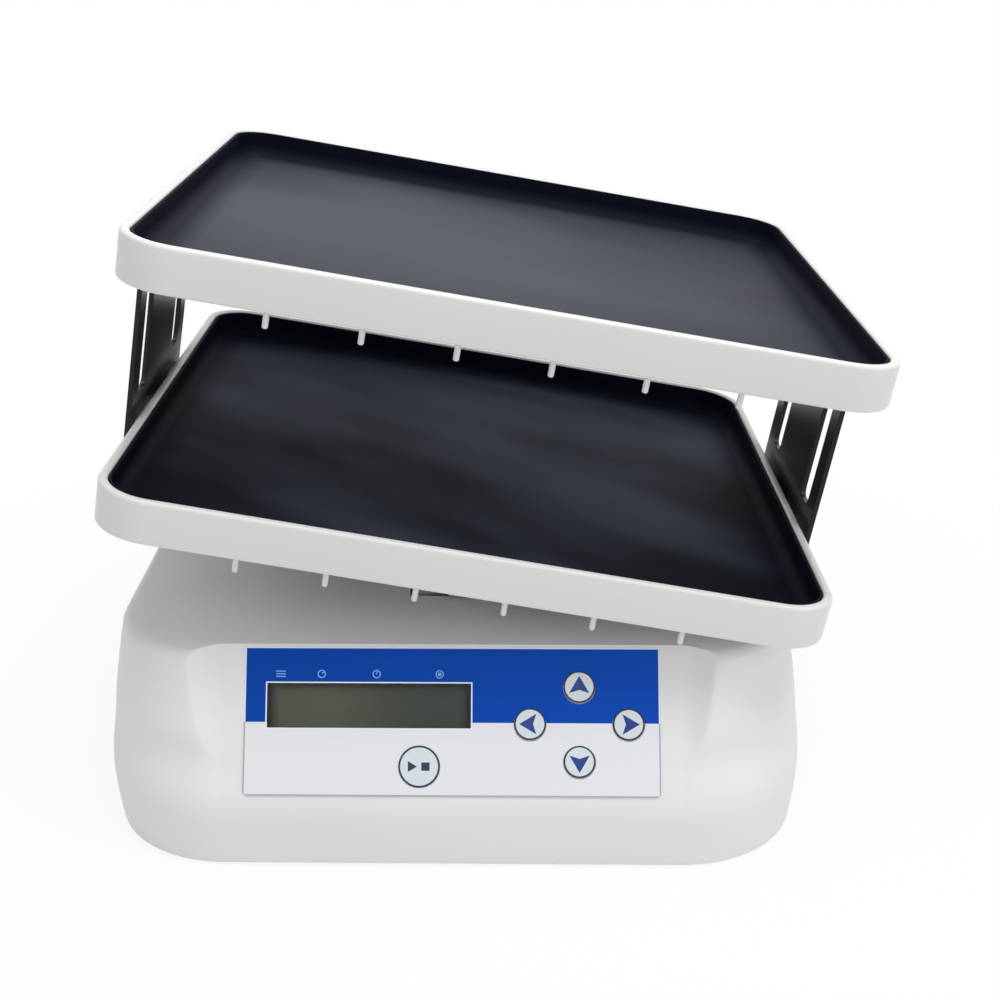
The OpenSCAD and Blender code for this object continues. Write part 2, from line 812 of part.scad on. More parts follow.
module axle_bearings() {
    color(steel) for (s = [-1, 1]) {
        outer = s * (post_y + post_t / 2);
        y0 = min(outer, outer - s * bearing_w);
        mid = (axle_d + bearing_d) / 2;
        difference() {
            along_y(y0, y0 + bearing_w, bearing_d, 0, axle_z);
            along_y(y0 - past, y0 + bearing_w + past, axle_d + 2 * run, 0, axle_z);
            for (e = [y0 - past, y0 + bearing_w - seal_sink]) difference() {
                along_y(e, e + past + seal_sink, mid + seal_w, 0, axle_z);
                along_y(e - past, e + 3 * past, mid - seal_w, 0, axle_z);
            }
        }
    }
}

module post_screws() {
    color(steel) at_post_screws() translate([0, 0, -plate_t])
        screw_up(carrier_screw_d, plate_t + post_flange_h - 2 * past, carrier_screw_head);
}

// Places of the gearbox's face screws
module at_gearbox_screws() {
    for (a = [45:90:315]) translate([gearbox_screw_r * cos(a), 0, crank_z + gearbox_screw_r * sin(a)])
        children();
}

// Places of the bracket's foot screws
module at_bracket_screws() {
    for (sx = [-1, 1]) translate([sx * (bracket_w / 2 - bracket_screw_in),
        bracket_y + bracket_foot - bracket_screw_in, plate_top]) children();
}

module motor_bracket() {
    color(steel) difference() {
        union() {
            translate([-bracket_w / 2, bracket_y, plate_top])
                cube([bracket_w, bracket_t, crank_z + gearbox_d / 2 + bracket_top - plate_top]);
            translate([-bracket_w / 2, bracket_y, plate_top]) cube([bracket_w, bracket_foot, bracket_t]);
            for (sx = [-1, 1]) translate([sx * (bracket_w / 2 - bracket_t / 2) + bracket_t / 2, 0, 0])
                rotate([0, -90, 0]) linear_extrude(bracket_t)
                    polygon([[plate_top, bracket_y], [plate_top, bracket_y + bracket_web],
                        [crank_z - gearbox_d / 2, bracket_y]]);
        }
        along_y(bracket_y - past, bracket_y + bracket_t + past, gearbox_boss_d + 1, 0, crank_z);
        at_gearbox_screws()
            along_y(bracket_y - past, bracket_y + bracket_t + past, gearbox_screw_d + 2 * gap);
        at_bracket_screws() cylinder(h = cut_h, d = carrier_screw_d + 2 * gap, center = true);
    }
}

module gearbox() {
    color(light_metal) difference() {
        union() {
            along_y(gearbox_y, motor_y, gearbox_d, 0, crank_z);
            along_y(gearbox_y - gearbox_boss_l, gearbox_y + bite, gearbox_boss_d, 0, crank_z);
        }
        along_y(gearbox_y - gearbox_boss_l - past, gearbox_y + shaft_root + gap,
            shaft_d + 2 * run, 0, crank_z);
        at_gearbox_screws()
            along_y(gearbox_y - past, gearbox_y + gearbox_screw_l + bite, gearbox_screw_d + fit);
    }
}

module gearbox_screws() {
    color(dark_metal) at_gearbox_screws() {
        along_y(bracket_y - head_h, bracket_y, gearbox_screw_head);
        along_y(bracket_y - bite, gearbox_y + gearbox_screw_l, gearbox_screw_d);
    }
}

module bracket_screws() {
    color(steel) at_bracket_screws() translate([0, 0, -plate_t])
        screw_up(carrier_screw_d, plate_t + bracket_t + bracket_nut_h, carrier_screw_head);
}

module drive_motor() {
    color("#8d9197") {
        along_y(motor_y, motor_y + motor_l, motor_d, 0, crank_z);
        along_y(motor_y + motor_l - bite, motor_y + motor_l + motor_cap_l, motor_cap_d, 0, crank_z);
        for (sx = [-1, 1])
            translate([sx * lug_x - lug[0] / 2, motor_y + motor_l - bite, crank_z - lug[2] / 2]) cube(lug);
    }
}

module motor_shaft() {
    color(steel) along_y(crank_y, gearbox_y + shaft_root, shaft_d, 0, crank_z);
}

module crank_disc() {
    color(light_metal) difference() {
        along_y(crank_y, crank_y + crank_t, 2 * crank_r, 0, crank_z);
        along_y(crank_y - past, crank_y + crank_t + past, shaft_d + fit, 0, crank_z);
        along_y(crank_y - past, crank_y + crank_t + past, pin_root_d + fit, pin_x, pin_z);
    }
}

module crank_pin() {
    roller_front = lever_y - roller_w / 2;
    color(steel) {
        along_y(roller_front - gap - pin_head_h, roller_front - gap, pin_head_d, pin_x, pin_z);
        along_y(roller_front - gap - bite, crank_y, pin_d, pin_x, pin_z);
        along_y(crank_y - bite, crank_y + crank_t, pin_root_d, pin_x, pin_z);
    }
}

module crank_roller() {
    y0 = lever_y - roller_w / 2;
    color(steel) difference() {
        along_y(y0, y0 + roller_w, roller_d, pin_x, pin_z);
        along_y(y0 - past, y0 + roller_w + past, pin_d + 2 * run, pin_x, pin_z);
        for (e = [y0 - past, y0 + roller_w - seal_sink]) difference() {
            along_y(e, e + past + seal_sink, roller_d - 3, pin_x, pin_z);
            along_y(e - past, e + 3 * past, roller_bore_lip, pin_x, pin_z);
        }
    }
}

module rocking_axle() {
    color(steel) difference() {
        along_y(-axle_end, axle_end, axle_d, 0, axle_z);
        for (s = [-1, 1]) difference() {
            along_y(s > 0 ? ring_y : -ring_y - ring_slot, s > 0 ? ring_y + ring_slot : -ring_y,
                axle_d + 2 * past, 0, axle_z);
            along_y(-axle_end, axle_end, axle_d - 2 * ring_groove, 0, axle_z);
        }
        on_platform() at_hub_screws() translate([0, 0, -axle_d / 2 - past])
            cylinder(h = past + axle_flat, d = hub_screw_d + 2 * gap);
    }
}

module axle_rings() {
    color(dark_metal) for (s = [-1, 1]) {
        y0 = s > 0 ? ring_y : -ring_y - ring_t;
        difference() {
            along_y(y0, y0 + ring_t, axle_d + 5, 0, axle_z);
            along_y(y0 - past, y0 + ring_t + past, axle_d - 2 * ring_groove + fit, 0, axle_z);
        }
    }
}

// Places of the grub screws that hold the two ears and the lever on the axle, each seen from below
module at_hub_screws() {
    for (s = [-1, 1]) translate([0, s * (ear_y + ear_t / 2), 0]) children();
    translate([0, lever_y, 0]) rotate([0, -90, 0]) children();
}

module hub_hole() {
    translate([0, 0, -hub_r - past]) cylinder(h = hub_r + past, d = hub_screw_d + fit);
}

module slotted_lever() {
    outer_w = lever_slot_w + 2 * lever_band;
    r = lever_slot_w / 2;
    color(light_metal) on_platform() difference() {
        standing(lever_y - lever_t / 2, lever_t) difference() {
            union() {
                circle(hub_r);
                translate([-lever_neck_w / 2, -lever_l]) square([lever_neck_w, lever_l]);
                translate([0, -(lever_slot_top + lever_slot_foot) / 2])
                    round_rect(outer_w, lever_slot_foot - lever_slot_top + 2 * lever_band, outer_w / 3);
            }
            circle(d = axle_d + fit);
            translate([-r, -lever_slot_foot + r])
                square([2 * r, lever_slot_foot - lever_slot_top - 2 * r]);
            for (z = [lever_slot_top + r, lever_slot_foot - r]) translate([0, -z]) circle(r);
        }
        at_hub_screws() hub_hole();
    }
}

module hub_screws() {
    color(dark_metal) on_platform() at_hub_screws() translate([0, 0, -hub_r])
        cylinder(h = hub_r - axle_d / 2 + axle_flat - film, d = hub_screw_d);
}

// Places of the screws between the carrier and the lower tray
module at_carrier_screws() {
    for (sx = [-1, 1], sy = [-1, 1])
        translate([sx * (carrier_w / 2 - carrier_hole_in), sy * (carrier_d / 2 - carrier_hole_in), carrier_z])
            children();
}

module tray_carrier() {
    color(light_metal) on_platform() difference() {
        union() {
            translate([0, 0, carrier_z]) linear_extrude(carrier_t)
                round_rect(carrier_w, carrier_d, carrier_corner);
            for (y = [-ear_y - ear_t, ear_y]) standing(y, ear_t) {
                circle(hub_r);
                polygon([[-hub_r, 0], [hub_r, 0],
                    [hub_r + ear_flare, carrier_z + bite], [-hub_r - ear_flare, carrier_z + bite]]);
            }
        }
        along_y(-ear_y - ear_t - past, ear_y + ear_t + past, axle_d + fit);
        at_hub_screws() hub_hole();
        at_carrier_screws()
            cylinder(h = 2 * (carrier_t + past), d = carrier_screw_d + 2 * gap, center = true);
    }
}

module carrier_screws() {
    color(steel) on_platform() at_carrier_screws()
        screw_up(carrier_screw_d, carrier_t + tray_floor - past, carrier_screw_head, carrier_head_h);
}

// Places of the band pegs along the front and back edges
module at_pegs() {
    for (k = [0:peg_count - 1], s = [-1, 1])
        translate([(k - (peg_count - 1) / 2) * peg_pitch, s * (tray_d / 2 - peg_in), tray_z]) children();
}

// Screw places on the sides of a tray
module at_side_screws() {
    for (sx = [-1, 1], sy = [-1, 1])
        translate([sx * tray_w / 2, sy * slot_y, tray_z + screw_rise]) rotate([0, sx * 90, 0]) children();
}

// Tray with a rim, holes for its pegs and a pad of thickness pad at each side screw
module tray(pad) {
    inner_w = tray_w - 2 * tray_wall;
    inner_d = tray_d - 2 * tray_wall;
    difference() {
        union() {
            translate([0, 0, tray_z]) linear_extrude(tray_h) round_rect(tray_w, tray_d, tray_corner);
            for (sx = [-1, 1], sy = [-1, 1])
                translate([sx * (tray_w / 2 + pad / 2 - bite), sy * slot_y, tray_z + pad_h / 2])
                    cube([pad + 2 * bite, pad_w, pad_h], center = true);
        }
        translate([0, 0, tray_z + tray_floor]) linear_extrude(tray_h)
            round_rect(inner_w, inner_d, tray_corner - tray_wall);
        at_pegs() translate([0, 0, -past]) cylinder(h = peg_root + past + film, d = peg_d + fit);
        at_side_screws() translate([0, 0, -side_screw_l])
            cylinder(h = side_screw_l + pad + past, d = side_screw_d + fit);
    }
}

// Rubber mat with an upturned edge
module mat() {
    w = tray_w - 2 * tray_wall - 2 * run;
    d = tray_d - 2 * tray_wall - 2 * run;
    r = tray_corner - tray_wall - run;
    translate([0, 0, tray_z + tray_floor]) difference() {
        linear_extrude(tray_h - tray_floor - mat_drop) round_rect(w, d, r);
        translate([0, 0, mat_floor]) linear_extrude(tray_h)
            round_rect(w - 2 * mat_wall, d - 2 * mat_wall, r - mat_wall);
    }
}

module pegs() {
    at_pegs() translate([0, 0, -peg_len]) cylinder(h = peg_len + peg_root, d = peg_d);
}

module lower_tray() {
    color(white_plastic) on_platform() difference() {
        tray(pad_t + gap);
        at_carrier_screws() cylinder(h = carrier_t + tray_floor - past + film, d = carrier_screw_d + fit);
    }
}

module lower_mat() { color(black_rubber) on_platform() mat(); }
module lower_pegs() { color(white_plastic) on_platform() pegs(); }
module upper_tray() { color(white_plastic) on_tier() tray(pad_t); }
module upper_mat() { color(black_rubber) on_tier() mat(); }
module upper_pegs() { color(white_plastic) on_tier() pegs(); }

// Upright beside the trays, with two height slots and the lower tray's screw holes
module upright(sx) {
    color(dark_metal) on_platform() difference() {
        translate([sx > 0 ? upright_x : -upright_x - upright_t, 0, 0]) rotate([90, 0, 90])
            linear_extrude(upright_t) difference() {
                translate([0, (upright_foot + upright_top) / 2])
                    round_rect(upright_w, upright_top - upright_foot, upright_corner);
                for (s = [-1, 1]) translate([s * slot_y, (slot_foot + slot_top) / 2])
                    round_rect(slot_w, slot_top - slot_foot, bush_corner);
            }
        at_side_screws() cylinder(h = cut_h, d = side_screw_d + 2 * gap);
    }
}

module left_upright() { upright(-1); }
module right_upright() { upright(1); }

// Button-head screw into a tray's side; seat is the height of its head above the tray's side
module side_screw(seat) {
    translate([0, 0, bite - side_screw_l]) cylinder(h = side_screw_l + seat, d = side_screw_d);
    translate([0, 0, seat]) difference() {
        cylinder(h = side_screw_head_h, d1 = side_screw_head, d2 = side_screw_head * 0.7);
        translate([0, 0, side_screw_head_h / 2]) cylinder(h = side_screw_head_h, d = side_socket_d, $fn = 6);
    }
}

module upright_screws() {
    color(steel) on_platform() at_side_screws() side_screw(pad_t + gap + upright_t);
}

// Shouldered sliding block that guides a clamp screw in its height slot
module slot_bushes() {
    color("#2a2c30") on_tier() at_side_screws() difference() {
        union() {
            translate([0, 0, pad_t]) linear_extrude(upright_t + 2 * gap + bite)
                round_rect(bush_h, bush_w, bush_corner);
            translate([0, 0, pad_t + upright_t + 2 * gap]) linear_extrude(bush_flange_t)
                round_rect(bush_h + 2 * bush_lip, bush_w + 2 * bush_lip, bush_corner + bush_lip);
        }
        cylinder(h = cut_h, d = side_screw_d + fit);
    }
}

module clamp_screws() {
    color(steel) on_tier() at_side_screws() side_screw(pad_t + upright_t + 2 * gap + bush_flange_t);
}

// Places of the main board's spacers
module at_spacers() {
    for (sx = [-1, 1], sy = [-1, 1])
        translate([board_x + sx * (board_w / 2 - spacer_in),
            board_y + sy * (board_d / 2 - spacer_in), plate_top]) children();
}

module main_board() {
    top = main_board_z + board_t - bite;
    color(board_green) {
        translate([board_x - board_w / 2, board_y - board_d / 2, main_board_z])
            cube([board_w, board_d, board_t]);
        for (b = BLOCKS) translate([b[0], b[1], top]) cube([b[2], b[3], b[4] + bite]);
        for (c = CAPS) translate([c[0], c[1], top]) cylinder(h = cap_h + bite, d = cap_d);
    }
}

module board_spacers() {
    color("#d8d2b8") at_spacers() cylinder(h = spacer_h, d = spacer_d, $fn = 6);
}

// Flat strips: one from the display's board back to the main board, one between the two console boards
module panel_ribbons() {
    y = ribbon_lap - panel_drop - lcd_v - display_board_h / 2;
    z = display_board_z - board_t - film;
    path = [console_yz(y, z), console_yz(y, z - ribbon_drop), [ribbon_bend, socket_z],
        [BLOCKS[2][1] - film, socket_z]];
    color("#c9c4b4") {
        translate([ribbon_x - ribbon_w / 2, 0, 0]) rotate([90, 0, 90]) linear_extrude(ribbon_w)
            for (i = [0:len(path) - 2]) {
                v = path[i + 1] - path[i];
                translate(path[i]) rotate(atan2(v[1], v[0])) translate([0, -ribbon_t / 2])
                    square([norm(v), ribbon_t]);
                if (i > 0) translate(path[i]) circle(d = ribbon_t);
            }
        at_panel(lcd_x + (display_board_w + room) / 2, lcd_v)
            translate([-jumper_l / 2, -jumper_w / 2, key_board_z - board_t - film - ribbon_t])
                cube([jumper_l, jumper_w, ribbon_t]);
    }
}

// Square lead through a list of points, each run along one axis
module lead(points) {
    for (i = [0:len(points) - 2]) {
        a = points[i];
        b = points[i + 1];
        translate([for (k = [0:2]) min(a[k], b[k]) - lead_d / 2])
            cube([for (k = [0:2]) abs(b[k] - a[k]) + lead_d]);
    }
}

module motor_leads() {
    color("#9c3a34") for (points = MOTOR) lead(points);
}

module supply_leads() {
    color("#33353a") for (points = SUPPLY) lead(points);
}

module power_inlet() {
    back = pocket_y - inlet_l;
    mouth = pocket_y + inlet_flange_t;
    color("#26282c") {
        difference() {
            union() {
                along_y(back, pocket_y + bite, inlet_d, inlet_x, pocket_z);
                along_y(pocket_y, mouth, inlet_flange_d, inlet_x, pocket_z);
            }
            along_y(mouth - inlet_bore_l, mouth + past, inlet_bore_d, inlet_x, pocket_z);
        }
        along_y(back + past, mouth - past, inlet_pin_d, inlet_x, pocket_z);
    }
}

module inlet_nut() {
    y1 = pocket_y - cover_wall;
    color(steel) difference() {
        translate([inlet_x, y1 - nut_t, pocket_z]) rotate([-90, 0, 0])
            cylinder(h = nut_t, d = nut_w / cos(30), $fn = 6);
        along_y(y1 - nut_t - past, y1 + past, inlet_d + fit, inlet_x, pocket_z);
    }
}

module switch_frame() {
    color("#26282c") translate([switch_x, pocket_y, pocket_z]) difference() {
        union() {
            translate([-switch_w / 2 - switch_flange, 0, -switch_l / 2 - switch_flange])
                cube([switch_w + 2 * switch_flange, switch_flange_t, switch_l + 2 * switch_flange]);
            translate([-switch_w / 2, -switch_depth, -switch_l / 2])
                cube([switch_w, switch_depth + bite, switch_l]);
        }
        translate([switch_wall - switch_w / 2, switch_floor - switch_depth, switch_wall - switch_l / 2])
            cube([switch_w - 2 * switch_wall, switch_depth + past, switch_l - 2 * switch_wall]);
        rotate([0, 90, 0]) cylinder(h = switch_w - 2 * bite, d = switch_pin_d + 2 * run, center = true);
    }
}

// Rocker of the power switch, drawn with its lower end pressed in
module switch_rocker() {
    half = switch_l / 2 - switch_wall - 2 * gap;
    w = switch_w - 2 * switch_wall - 2 * gap;
    color("#1c1e21") translate([switch_x, pocket_y, pocket_z]) rotate([-switch_swing / 2, 0, 0]) {
        rotate([90, 0, 90]) linear_extrude(w, center = true)
            polygon([[rocker_peak, half], [rocker_dip, 0], [rocker_peak, -half],
                [-rocker_back, room - half], [-rocker_keel, 0], [-rocker_back, half - room]]);
        rotate([0, 90, 0]) cylinder(h = switch_w - 2 * bite - 2 * gap, d = switch_pin_d, center = true);
    }
}

base_cover();
base_plate();
rubber_feet();
cover_screws();
keypad_sheet();
display_window();
display_frame();
display_glass();
display_backlight();
display_board();
key_board();
key_switches();
board_screws();
start_key();
up_key();
down_key();
left_key();
right_key();
front_bearing_post();
rear_bearing_post();
axle_bearings();
post_screws();
drive_motor();
gearbox();
motor_bracket();
gearbox_screws();
bracket_screws();
motor_shaft();
crank_disc();
crank_pin();
crank_roller();
rocking_axle();
axle_rings();
slotted_lever();
hub_screws();
tray_carrier();
carrier_screws();
lower_tray();
lower_mat();
lower_pegs();
left_upright();
right_upright();
upright_screws();
upper_tray();
upper_mat();
upper_pegs();
slot_bushes();
clamp_screws();
main_board();
board_spacers();
panel_ribbons();
motor_leads();
supply_leads();
power_inlet();
inlet_nut();
switch_frame();
switch_rocker();
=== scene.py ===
"""Looks of a two-tier rocker shaker: skins, finishes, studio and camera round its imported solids."""

import math

import bmesh
import bpy
import numpy as np
from mathutils import Matrix, Vector


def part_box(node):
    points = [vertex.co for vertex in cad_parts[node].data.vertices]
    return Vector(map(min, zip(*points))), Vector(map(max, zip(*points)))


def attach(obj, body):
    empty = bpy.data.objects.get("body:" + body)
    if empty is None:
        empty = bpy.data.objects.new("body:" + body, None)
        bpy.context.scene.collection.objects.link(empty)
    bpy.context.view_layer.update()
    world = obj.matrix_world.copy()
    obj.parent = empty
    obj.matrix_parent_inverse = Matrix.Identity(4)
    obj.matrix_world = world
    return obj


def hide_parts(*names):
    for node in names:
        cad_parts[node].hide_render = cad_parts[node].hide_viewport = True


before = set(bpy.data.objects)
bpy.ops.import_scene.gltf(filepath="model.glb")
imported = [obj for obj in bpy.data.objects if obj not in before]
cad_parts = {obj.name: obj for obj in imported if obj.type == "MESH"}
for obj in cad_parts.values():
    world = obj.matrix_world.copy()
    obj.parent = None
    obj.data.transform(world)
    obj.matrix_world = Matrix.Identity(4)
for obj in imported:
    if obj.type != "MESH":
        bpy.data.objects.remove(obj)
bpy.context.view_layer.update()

bl_info = {
    "name": "Rocker shaker looks",
    "version": (1, 0, 0),
    "blender": (4, 5, 0),
    "location": "3D View > Sidebar > Shaker",
    "description": "Builds the skins, finishes and studio of a two-tier rocker shaker",
    "category": "Object",
}

MM = 0.001
# Keys and the turn of their arrows in degrees
KEYS = {"start_key": None, "up_key": 90, "down_key": -90, "left_key": 180, "right_key": 0}


def length(name, description, default):
    """A length in metres."""
    return bpy.props.FloatProperty(
        name=name, description=description, default=default, unit="LENGTH", precision=5)


def angle(name, description, degrees):
    """An angle, given in degrees and kept in radians."""
    return bpy.props.FloatProperty(
        name=name, description=description, default=math.radians(degrees), unit="ROTATION")


def share(name, description, default):
    """A plain number from 0 to 1."""
    return bpy.props.FloatProperty(
        name=name, description=description, default=default, min=0, max=1, subtype="FACTOR")


def power(name, description, watts):
    """The power of a lamp."""
    return bpy.props.FloatProperty(name=name, description=description, default=watts, unit="POWER")


def tint(name, description, *shown):
    """A colour, given as it looks on screen (0 to 255) and kept linear."""
    linear = [v / 255 / 12.92 if v <= 10 else ((v / 255 + 0.055) / 1.055) ** 2.4 for v in shown]
    return bpy.props.FloatVectorProperty(
        name=name, description=description, default=(*linear, 1.0), size=4, min=0, max=1,
        subtype="COLOR")


class ShellSettings(bpy.types.PropertyGroup):
    """Shape of the moulded base cover."""

    width: length("Width", "Widest part, side to side", 0.300)
    front: length("Front", "From the rocking axle to the foremost point", 0.1572)
    back: length("Back", "From the rocking axle to the rear", 0.142)
    foot: length("Lower edge", "Height of the lower edge above the bench", 0.001)
    deck: length("Deck", "Height of the deck above the bench", 0.088)
    corner: length("Corner", "Radius of the corners from above", 0.055)
    wall: length("Wall", "Thickness of the wall", 0.003)
    edge: length("Deck edge", "Rounding of the deck's edge", 0.0035)
    belly: length("Belly", "Height of the widest part", 0.033)
    draw_top: length("Draw at the deck", "How far the sides draw in up to the deck", 0.006)
    draw_foot: length("Draw at the foot", "How far the sides draw in down to the foot", 0.0025)
    lean_from: length("Lean from", "Height at which the front starts to lean", 0.030)
    cheek_from: length("Cheeks from", "Height at which the cheeks start to stand proud", 0.046)
    cheek_rise: length("Cheek rise", "Height over which the cheeks stand up", 0.011)
    cheek_lean: angle("Cheek lean", "Lean of the cheeks from upright", 14)
    rim_blend: length("Cheek rim", "Softness of the cheeks' rims", 0.0004)


class ConsoleSettings(bpy.types.PropertyGroup):
    """Place of the console and the colours of its print."""

    ahead: length("Ahead", "From the rocking axle to the console's top edge", 0.1248)
    lean: angle("Lean", "Lean of the face from upright", 29)
    width: length("Width", "Width of the flat face", 0.190)
    slope: share("Wall slope", "Slope of the walls beside the face, at their foot", 0.15)
    cove: length("Wall cove", "Radius of the walls beside the face", 0.018)
    drop: length("Drop", "From the top edge down to the printed sheet", 0.0012)
    thick: length("Sheet", "Thickness of the printed sheet", 0.0008)
    band: length("Band", "Height of the sheet's blue upper band", 0.0308)
    window_x: length("Display across", "From the sheet's middle to the display's", -0.0341)
    window_down: length("Display down", "From the sheet's top edge to the display's middle", 0.024)
    window_width: length("Display width", "Width of the display's view", 0.084)
    window_height: length("Display height", "Height of the display's view", 0.0182)
    key_top: length("Key top", "Top of a key above the console's face", 0.00065)
    key_foot: length("Key foot", "Foot of a key's stem below the console's face", 0.0034)
    key_stem: length("Key stem", "Radius of a key's stem", 0.0032)
    key_edge: length("Key edge", "Rounding of a key's edge", 0.0003)
    key_dome: length("Key dome", "Rise of a key's domed face", 0.00012)
    blue: tint("Blue", "Upper band of the sheet", 0, 67, 167)
    blue_far: tint("Blue, right", "Upper band towards the right", 16, 78, 188)
    pale: tint("Pale", "Lower half of the sheet", 232, 234, 238)
    # The line along the blue band's edge is a painted highlight and the shaded line round the pale half
    # is painted shade; the line round the display is print.
    line: tint("Line", "Fine line round the display and the blue band", 232, 242, 250)
    shade_line: tint("Shaded line", "Fine line round the pale half", 172, 176, 184)
    sign: tint("Sign", "Small signs above the display", 126, 182, 236)
    ink: tint("Ink", "Rings of the keys", 22, 34, 66)
    arrow: tint("Arrow", "Arrows on the keys", 22, 52, 132)
    cap: tint("Cap", "Faces of the keys", 214, 224, 229)
    glass: tint("Display", "Dark face of the display", 104, 102, 84)
    glass_far: tint("Display, right", "Dark face of the display towards the right", 74, 86, 78)


class OpeningSettings(bpy.types.PropertyGroup):
    """Openings of the moulded base cover."""

    seat_gap: length("Seat gap", "Gap round the printed sheet in its seat", 0.00006)
    seat_depth: length("Seat depth", "Depth of the printed sheet's seat", 0.00052)
    seat_corner: length("Seat corner", "Radius of the seat's corners", 0.00206)
    window_lap: length("Display lap", "How far the display's opening exceeds its view", 0.00132)
    stem: length("Key holes", "Radius of the holes for the keys' stems", 0.0035)
    well_width: length("Well width", "Width of the wells round the bearing posts", 0.040)
    well_depth: length("Well depth", "Depth of the wells round the bearing posts", 0.0265)
    well_away: length("Well place", "From the middle to each well", 0.06475)
    slot_width: length("Slot width", "Width of the lever's slot", 0.034)
    slot_depth: length("Slot depth", "Depth of the lever's slot", 0.012)
    slot_ahead: length("Slot place", "From the middle ahead to the lever's slot", 0.036)
    switch_x: length("Switch across", "From the middle to the switch", 0.088)
    switch_width: length("Switch width", "Width of the switch's opening", 0.01312)
    switch_height: length("Switch height", "Height of the switch's opening", 0.01912)
    inlet_x: length("Inlet across", "From the middle to the power inlet", 0.052)
    inlet: length("Inlet", "Radius of the power inlet's opening", 0.00556)
    rear_up: length("Rear height", "Height of the switch and the inlet above the bench", 0.036)
    pocket_x: length("Pocket across", "From the middle to the rear pocket's middle", 0.070)
    pocket_width: length("Pocket width", "Width of the rear pocket", 0.074)
    pocket_height: length("Pocket height", "Height of the rear pocket", 0.034)
    pocket_corner: length("Pocket corner", "Radius of the rear pocket's corners", 0.003)
    pocket_slope: bpy.props.FloatProperty(
        name="Pocket slope", description="Slope of the rear pocket's walls", default=4.0)
    flange: length("Switch flange", "How far the switch's frame stands off the pocket", 0.002)


class TraySettings(bpy.types.PropertyGroup):
    """Shape of the two trays, their mats and their pegs."""

    width: length("Width", "Width of a tray", 0.300)
    depth: length("Depth", "Depth of a tray", 0.290)
    height: length("Height", "Height of the rim", 0.0185)
    wall: length("Rim", "Thickness of the rim", 0.004)
    floor: length("Floor", "Thickness of the floor", 0.0035)
    corner: length("Corner", "Radius of the corners", 0.024)
    mat_fit: length("Mat gap", "Gap round the mat", 0.00006)
    mat_floor: length("Mat", "Thickness of the mat on the floor", 0.0025)
    mat_wall: length("Mat edge", "Thickness of the mat's upturned edge", 0.0014)
    mat_drop: length("Mat drop", "How far the mat stops below the rim", 0.0006)
    cove: length("Cove", "Fillet between the mat's floor and edge", 0.006)
    axle: length("Axle", "Height of the rocking axle", 0.094)
    rise: length("Rise", "From the axle up to the lower tray's underside", 0.0255)
    tier: length("Tier", "From one tray up to the other", 0.1005)
    tilt: angle("Tilt", "Tilt of the trays as drawn, left side up", 10)
    foot_round: length("Rim foot", "Rounding of the rim's lower edge", 0.0012)
    rim_out: length("Rim, outside", "Rounding of the rim's top, outside", 0.0017)
    rim_in: length("Rim, inside", "Rounding of the rim's top, inside", 0.0013)
    mat_lip: length("Mat lip", "Rounding of the mat's upper edge", 0.0006)
    mat_foot: length("Mat foot", "Rounding of the mat's lower edge", 0.0005)
    pad_height: length("Pad height", "Height of the pads under the uprights", 0.014)
    pad_length: length("Pad length", "Length of the pads under the uprights", 0.022)
    pad_away: length("Pad place", "From the middle, front or back, to each pad", 0.036)
    pad_up: length("Pad lift", "From a tray's underside up to its pads' middle", 0.007)
    pad_lower: length("Lower pads", "How far the lower tray's pads stand out", 0.0025)
    pad_upper: length("Upper pads", "How far the upper tray's pads stand out", 0.0022)
    peg_pitch: length("Peg pitch", "Spacing of the band pegs", 0.0359)
    peg_in: length("Peg inset", "From a tray's edge to its pegs", 0.0046)
    peg_width: length("Peg width", "Diameter of a peg", 0.0024)
    peg_drop: length("Peg drop", "How far a peg hangs below the tray", 0.007)
    peg_tip: length("Peg tip", "Rounding of a peg's tip", 0.0008)
    pegs: bpy.props.IntProperty(name="Pegs", description="Band pegs along each edge", default=6)


class FinishSettings(bpy.types.PropertyGroup):
    """Colours of the plastics, rubbers and metals."""

    shell: tint("Base", "Moulded base", 231, 231, 231)
    tray: tint("Trays", "Trays and pegs", 222, 222, 220)
    # Painted highlight: the paler top of the rims stands in for the light falling on them.
    rim: tint("Rims", "Paler top of the trays' rims", 234, 234, 233)
    mat: tint("Mats", "Black mats", 13, 17, 29)
    # Painted reflection: the mats' paler patches stand in for the satin mats reflecting the lamps and
    # the tray above.
    lower_mat_reflection: tint("Mat bloom", "Paler bloom on the lower mat", 76, 84, 106)
    upper_mat_reflection: tint("Upper mat reflection", "Paler bloom on the upper mat", 70, 74, 82)
    plate: tint("Uprights", "Dark painted uprights", 14, 16, 19)
    steel: tint("Steel", "Screws, axle and base plate", 196, 199, 204)
    alloy: tint("Alloy", "Cast posts, carrier and lever", 186, 189, 193)
    black: tint("Black plastic", "Inlet, switch and bushes", 30, 31, 34)
    rubber: tint("Feet", "Rubber feet", 32, 32, 34)
    nylon: tint("Pale plastic", "Spacers", 226, 220, 200)
    board: tint("Boards", "Circuit boards", 36, 98, 62)
    lead: tint("Leads", "Wires and ribbons", 120, 66, 60)


